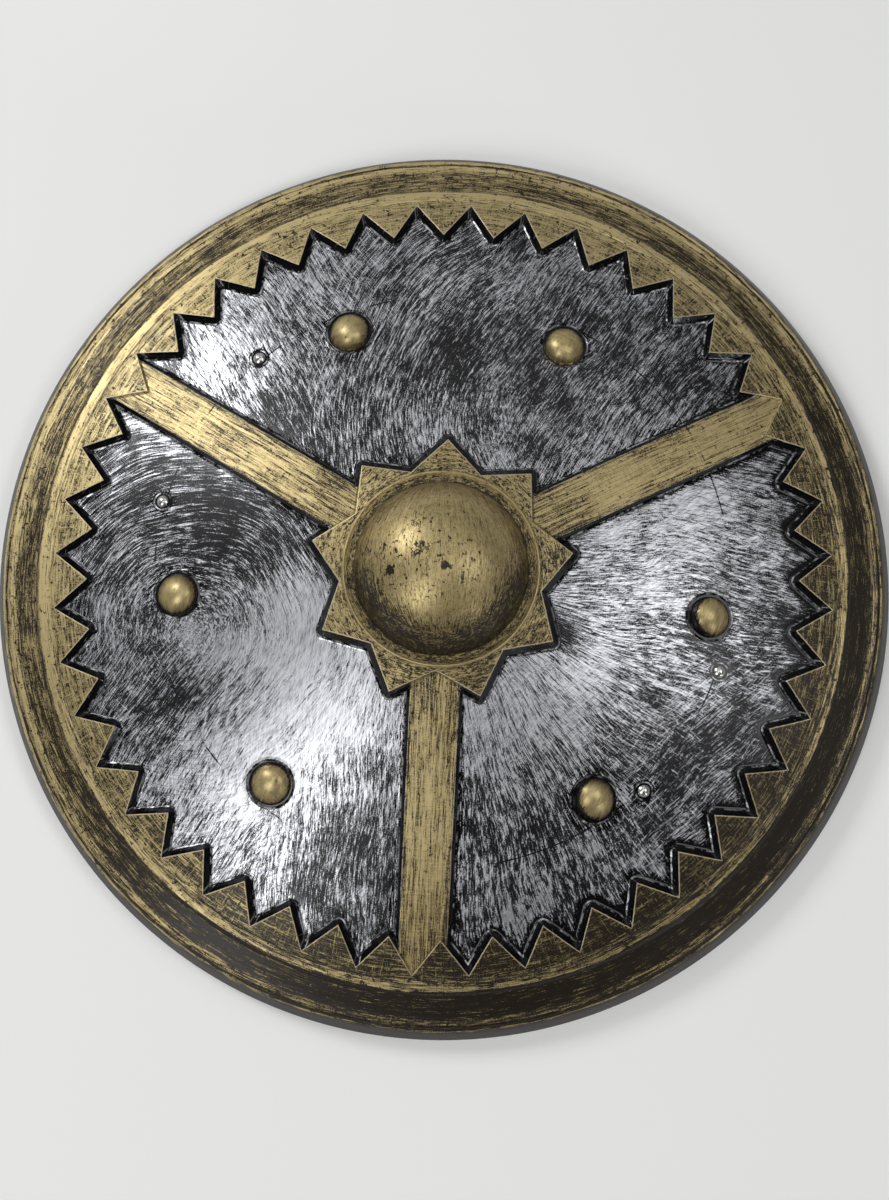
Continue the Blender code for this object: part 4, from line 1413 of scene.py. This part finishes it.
class PaintSettings(bpy.types.PropertyGroup):
    """Colours and brushwork of the painted finish."""

    silver_light: color_setting("Silver Light", "Bright streaks of silver paint", "#EEEFF4")
    silver_dark: color_setting("Silver Dark", "Thin streaks of silver paint", "#6E7078")
    gold_light: color_setting("Gold Light", "Bright streaks of gold paint", "#CDBB8A")
    gold_dark: color_setting("Gold Dark", "Thin streaks of gold paint", "#8A784E")
    gold_glaze: color_setting("Gold Glaze", "Brown film left between gold streaks", "#1F1910")
    black: color_setting("Black Sheet", "Bare plastic under the paint", "#0E0D0E")
    silver_roughness: number_setting("Silver Roughness", "Roughness of the silver paint", 0.40)
    gold_roughness: number_setting("Gold Roughness", "Roughness of the gold paint", 0.48)
    paint_metallic: number_setting("Paint Metallic", "How metallic both paints look", 0.92)
    silver_coverage: number_setting("Silver Coverage", "Share of the field that is silvered", 0.52)
    stroke_width: length_setting("Stroke Width", "Distance from streak to streak", 0.52 * MM)
    stroke_length: length_setting("Stroke Length", "Length over which a streak changes", 6.0 * MM)


class RivetSettings(bpy.types.PropertyGroup):
    """How the rivets are made."""

    sides: count_setting("Sides", "Sides of a turned rivet", 40)
    seed: count_setting("Seed", "Seed of each rivet's turn about its own axis", 3)
    color: color_setting("Metal", "Colour of the rivets", "#E2E0DC")


class StrapSettings(bpy.types.PropertyGroup):
    """How the straps are finished."""

    edge_round: length_setting("Edge Rounding", "Radius of the strap's edges", 0.9 * MM)
    color: color_setting("Plastic", "Colour of the moulded straps", "#1B1B1C")


class StageSettings(bpy.types.PropertyGroup):
    """Floor, light and camera."""

    floor_color: color_setting("Floor", "Colour of the floor", "#FCFCFB")
    room_light: number_setting("Room Light", "Light of the room on its bright side", 0.25)
    room_dark: number_setting("Room Dark", "Light of the room on its dark side", 0.03)
    lamp_strength: number_setting("Lamp Strength", "Factor on every soft lamp", 1.0)
    lens: number_setting("Lens", "Focal length of the camera, in millimetres", 65.67)


# Operators

class SHIELD_OT_shell(bpy.types.Operator):
    """Build the fine painted shell in place of the frame's"""

    bl_idname = "shield.shell"
    bl_label = "Painted Shell"

    def execute(self, context):
        settings = context.scene.shield_shell
        paint = context.scene.shield_paint
        materials = (painted_material(paint),
                     moulded_material("black_styrene_sheet_back", paint.black, 0.32, BACK_GRAIN, 0.03 * MM))
        shell, places = sheet_object("painted_shell", shell_layout(settings),
                                     lambda spots: front_points(spots, settings),
                                     lambda spots: back_points(spots, settings), materials)
        Brushwork(places, paint).store(shell.data)
        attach(shell, BODY)
        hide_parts("shield_shell")
        return {"FINISHED"}


class SHIELD_OT_rivets(bpy.types.Operator):
    """Set the four dome-headed rivets"""

    bl_idname = "shield.rivets"
    bl_label = "Rivets"

    def execute(self, context):
        settings = context.scene.shield_rivets
        rows = rivet_outline()
        outline = bpy.data.meshes.new("rivet_outline")
        # The sweep round the axis turns the outline over, so it is drawn upside down
        outline.from_pydata([(radius, -height, 0.0) for radius, height in rows],
                            [(index, index + 1) for index in range(len(rows) - 1)], [])
        guide = new_object("rivet_outline", outline)
        places = np.array(RIVET_PLACES)
        marks = bpy.data.meshes.new("rivet_places")
        marks.from_pydata(field_points(places).tolist(), [], [])
        facing = marks.attributes.new("square_to_shell", "FLOAT_VECTOR", "POINT")
        facing.data.foreach_set("vector", field_normals(places).astype(np.float32).ravel())
        holder = new_object("rivet_places", marks)
        modifier = holder.modifiers.new("rivets", "NODES")
        modifier.node_group = rivet_tree(rivet_material(settings.color))
        given = {"Outline": guide, "Sides": settings.sides, "Seed": settings.seed}
        for item in modifier.node_group.interface.items_tree:
            if item.in_out == "INPUT" and item.name in given:
                modifier[item.identifier] = given[item.name]
        rivets = plain_copy("rivets", holder)
        bpy.data.objects.remove(guide, do_unlink=True)
        rivets.data.shade_smooth()
        rivets.data.set_sharp_from_angle(angle=math.radians(35.0))
        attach(rivets, BODY)
        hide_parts("rivet_forearm_left", "rivet_forearm_right", "rivet_grip_left",
                    "rivet_grip_right")
        return {"FINISHED"}


class SHIELD_OT_straps(bpy.types.Operator):
    """Build the forearm strap and the hand grip with rounded edges"""

    bl_idname = "shield.straps"
    bl_label = "Straps"

    def execute(self, context):
        settings = context.scene.shield_straps
        material = moulded_material("black_moulded_strap", settings.color, 0.45, STRAP_GRAIN, 0.06 * MM)
        for name, rivets, width in (("forearm_strap", FOREARM_RIVETS, FOREARM_STRAP_WIDTH),
                                    ("hand_grip_strap", GRIP_RIVETS, GRIP_STRAP_WIDTH)):
            strap = Strap(rivets, width, settings)
            piece, _ = sheet_object("soft_" + name, strap.layout(), strap.front_points,
                                    strap.back_points, (material,))
            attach(piece, BODY)
            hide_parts(name)
        return {"FINISHED"}


# Stage

# The camera: where it stands, where it looks from and which way is up in its picture
CAMERA_PLACE = (0.10775, -0.13585, 1.21927)
CAMERA_BACK = (0.083924, -0.106093, 0.990808)
CAMERA_UP = (-0.5446, 0.8387, 0.0)
SENSOR_WIDTH = 36.0

# Each soft lamp, as the camera sees it round the shield: tilt from the line of sight and bearing in
# degrees, length square to that bearing and width along it in metres, and light on the shield in
# watts per square metre
LAMP_DISTANCE = 2.0
LAMPS = (
    ("lamp_front", 8.0, 90.0, 0.6, 0.6, 0.28),
    ("lamp_upper_left", 60.0, 136.0, 0.45, 0.6, 1.08),
    ("lamp_lower_left", 40.0, 227.0, 0.45, 1.15, 0.90),
    ("lamp_right", 38.0, 8.0, 1.1, 0.65, 0.62),
    ("lamp_lower_right", 68.0, 312.0, 0.25, 0.25, 0.25),
    ("lamp_top", 50.0, 76.0, 1.1, 0.45, 0.15),
)
FLOOR_HALF = 4.0
FLOOR_LEVEL = -0.2 * MM


def axes_matrix(*axes):
    """Matrix of an object's turn, from its three axes."""
    return Matrix(axes).transposed().to_4x4()


def add_camera(lens):
    """The photograph's camera; gives the directions to its right, its top and its back."""
    back = Vector(CAMERA_BACK).normalized()
    up = Vector(CAMERA_UP)
    up = (up - back * up.dot(back)).normalized()
    right = up.cross(back)
    data = bpy.data.cameras.new("camera")
    data.lens = lens
    data.sensor_width = SENSOR_WIDTH
    camera = new_object("camera", data)
    camera.matrix_world = Matrix.Translation(CAMERA_PLACE) @ axes_matrix(right, up, back)
    bpy.context.scene.camera = camera
    return right, up, back


def add_lamp(view, strength, name, tilt, bearing, length, width, light):
    """A soft lamp that faces the shield from a tilt and a bearing in the camera's view."""
    right, up, back = view
    tilt, bearing = math.radians(tilt), math.radians(bearing)
    outwards = right * math.cos(bearing) + up * math.sin(bearing)
    round_about = up * math.cos(bearing) - right * math.sin(bearing)
    direction = back * math.cos(tilt) + outwards * math.sin(tilt)
    data = bpy.data.lights.new(name, "AREA")
    data.shape = "RECTANGLE"
    data.size = length
    data.size_y = width
    data.energy = strength * light * math.pi * LAMP_DISTANCE ** 2
    lamp = new_object(name, data)
    turn = axes_matrix(round_about, direction.cross(round_about), direction)
    lamp.matrix_world = Matrix.Translation(direction * LAMP_DISTANCE) @ turn


def add_floor(color):
    """A plain matt floor just under the rim's cut edge."""
    mesh = bpy.data.meshes.new("floor")
    corners = ((-1, -1), (1, -1), (1, 1), (-1, 1))
    mesh.from_pydata([(FLOOR_HALF * x, FLOOR_HALF * y, FLOOR_LEVEL) for x, y in corners], [], [(0, 1, 2, 3)])
    material, nodes = new_material("matt_white_card")
    nodes.surface({"Base Color": opaque(color), "Roughness": 0.9})
    mesh.materials.append(material)
    floor = new_object("floor", mesh)


def add_room(view, room_dark, room_light):
    """Soft light from all round, brighter towards the top and left of the camera's view."""
    right, up, _ = view
    world = bpy.data.worlds.new("soft_room")
    world.use_nodes = True
    nodes = Nodes(world.node_tree)
    background = world.node_tree.nodes["Background"]
    background.inputs["Color"].default_value = (1.0, 1.0, 1.0, 1.0)
    aim = add_node(world.node_tree, "ShaderNodeTexCoord").outputs["Generated"]
    toward = nodes.vector("DOT_PRODUCT", aim, up * 0.9 - right * 0.4)["Value"]
    fade = nodes.ramp(toward, -0.2, 0.8, room_dark, room_light)
    world.node_tree.links.new(fade, background.inputs["Strength"])
    bpy.context.scene.world = world


class SHIELD_OT_stage(bpy.types.Operator):
    """Set up the camera, the pale floor and the soft studio light"""

    bl_idname = "shield.stage"
    bl_label = "Studio"

    def execute(self, context):
        settings = context.scene.shield_stage
        view = add_camera(settings.lens)
        for lamp in LAMPS:
            add_lamp(view, settings.lamp_strength, *lamp)
        add_floor(settings.floor_color)
        add_room(view, settings.room_dark, settings.room_light)
        context.scene.view_settings.view_transform = "Standard"
        return {"FINISHED"}


class SHIELD_PT_panel(bpy.types.Panel):
    """Lists what can be built"""

    bl_idname = "SHIELD_PT_panel"
    bl_label = "Viking Shield"
    bl_space_type = "VIEW_3D"
    bl_region_type = "UI"
    bl_category = "Shield"

    def draw(self, context):
        for operator, group in PANEL_ROWS:
            box = self.layout.box()
            box.operator(operator.bl_idname)
            for name in getattr(context.scene, group).bl_rna.properties.keys():
                if name not in ("rna_type", "name"):
                    box.prop(getattr(context.scene, group), name)


GROUPS = {"shield_shell": ShellSettings, "shield_paint": PaintSettings, "shield_rivets": RivetSettings,
          "shield_straps": StrapSettings, "shield_stage": StageSettings}
OPERATORS = (SHIELD_OT_shell, SHIELD_OT_rivets, SHIELD_OT_straps, SHIELD_OT_stage)
PANEL_ROWS = ((SHIELD_OT_shell, "shield_shell"), (SHIELD_OT_shell, "shield_paint"),
              (SHIELD_OT_rivets, "shield_rivets"), (SHIELD_OT_straps, "shield_straps"),
              (SHIELD_OT_stage, "shield_stage"))


def register():
    """Register the classes and hang the settings on the scene."""
    for item in (*GROUPS.values(), *OPERATORS, SHIELD_PT_panel):
        bpy.utils.register_class(item)
    for name, group in GROUPS.items():
        setattr(bpy.types.Scene, name, PointerProperty(type=group))


def unregister():
    """Take the settings and the classes away again."""
    for name in GROUPS:
        delattr(bpy.types.Scene, name)
    for item in reversed((*GROUPS.values(), *OPERATORS, SHIELD_PT_panel)):
        bpy.utils.unregister_class(item)


def main():
    """Build every piece and the studio."""
    register()
    bpy.ops.shield.shell()
    bpy.ops.shield.rivets()
    bpy.ops.shield.straps()
    bpy.ops.shield.stage()


if __name__ == "__main__":
    main()
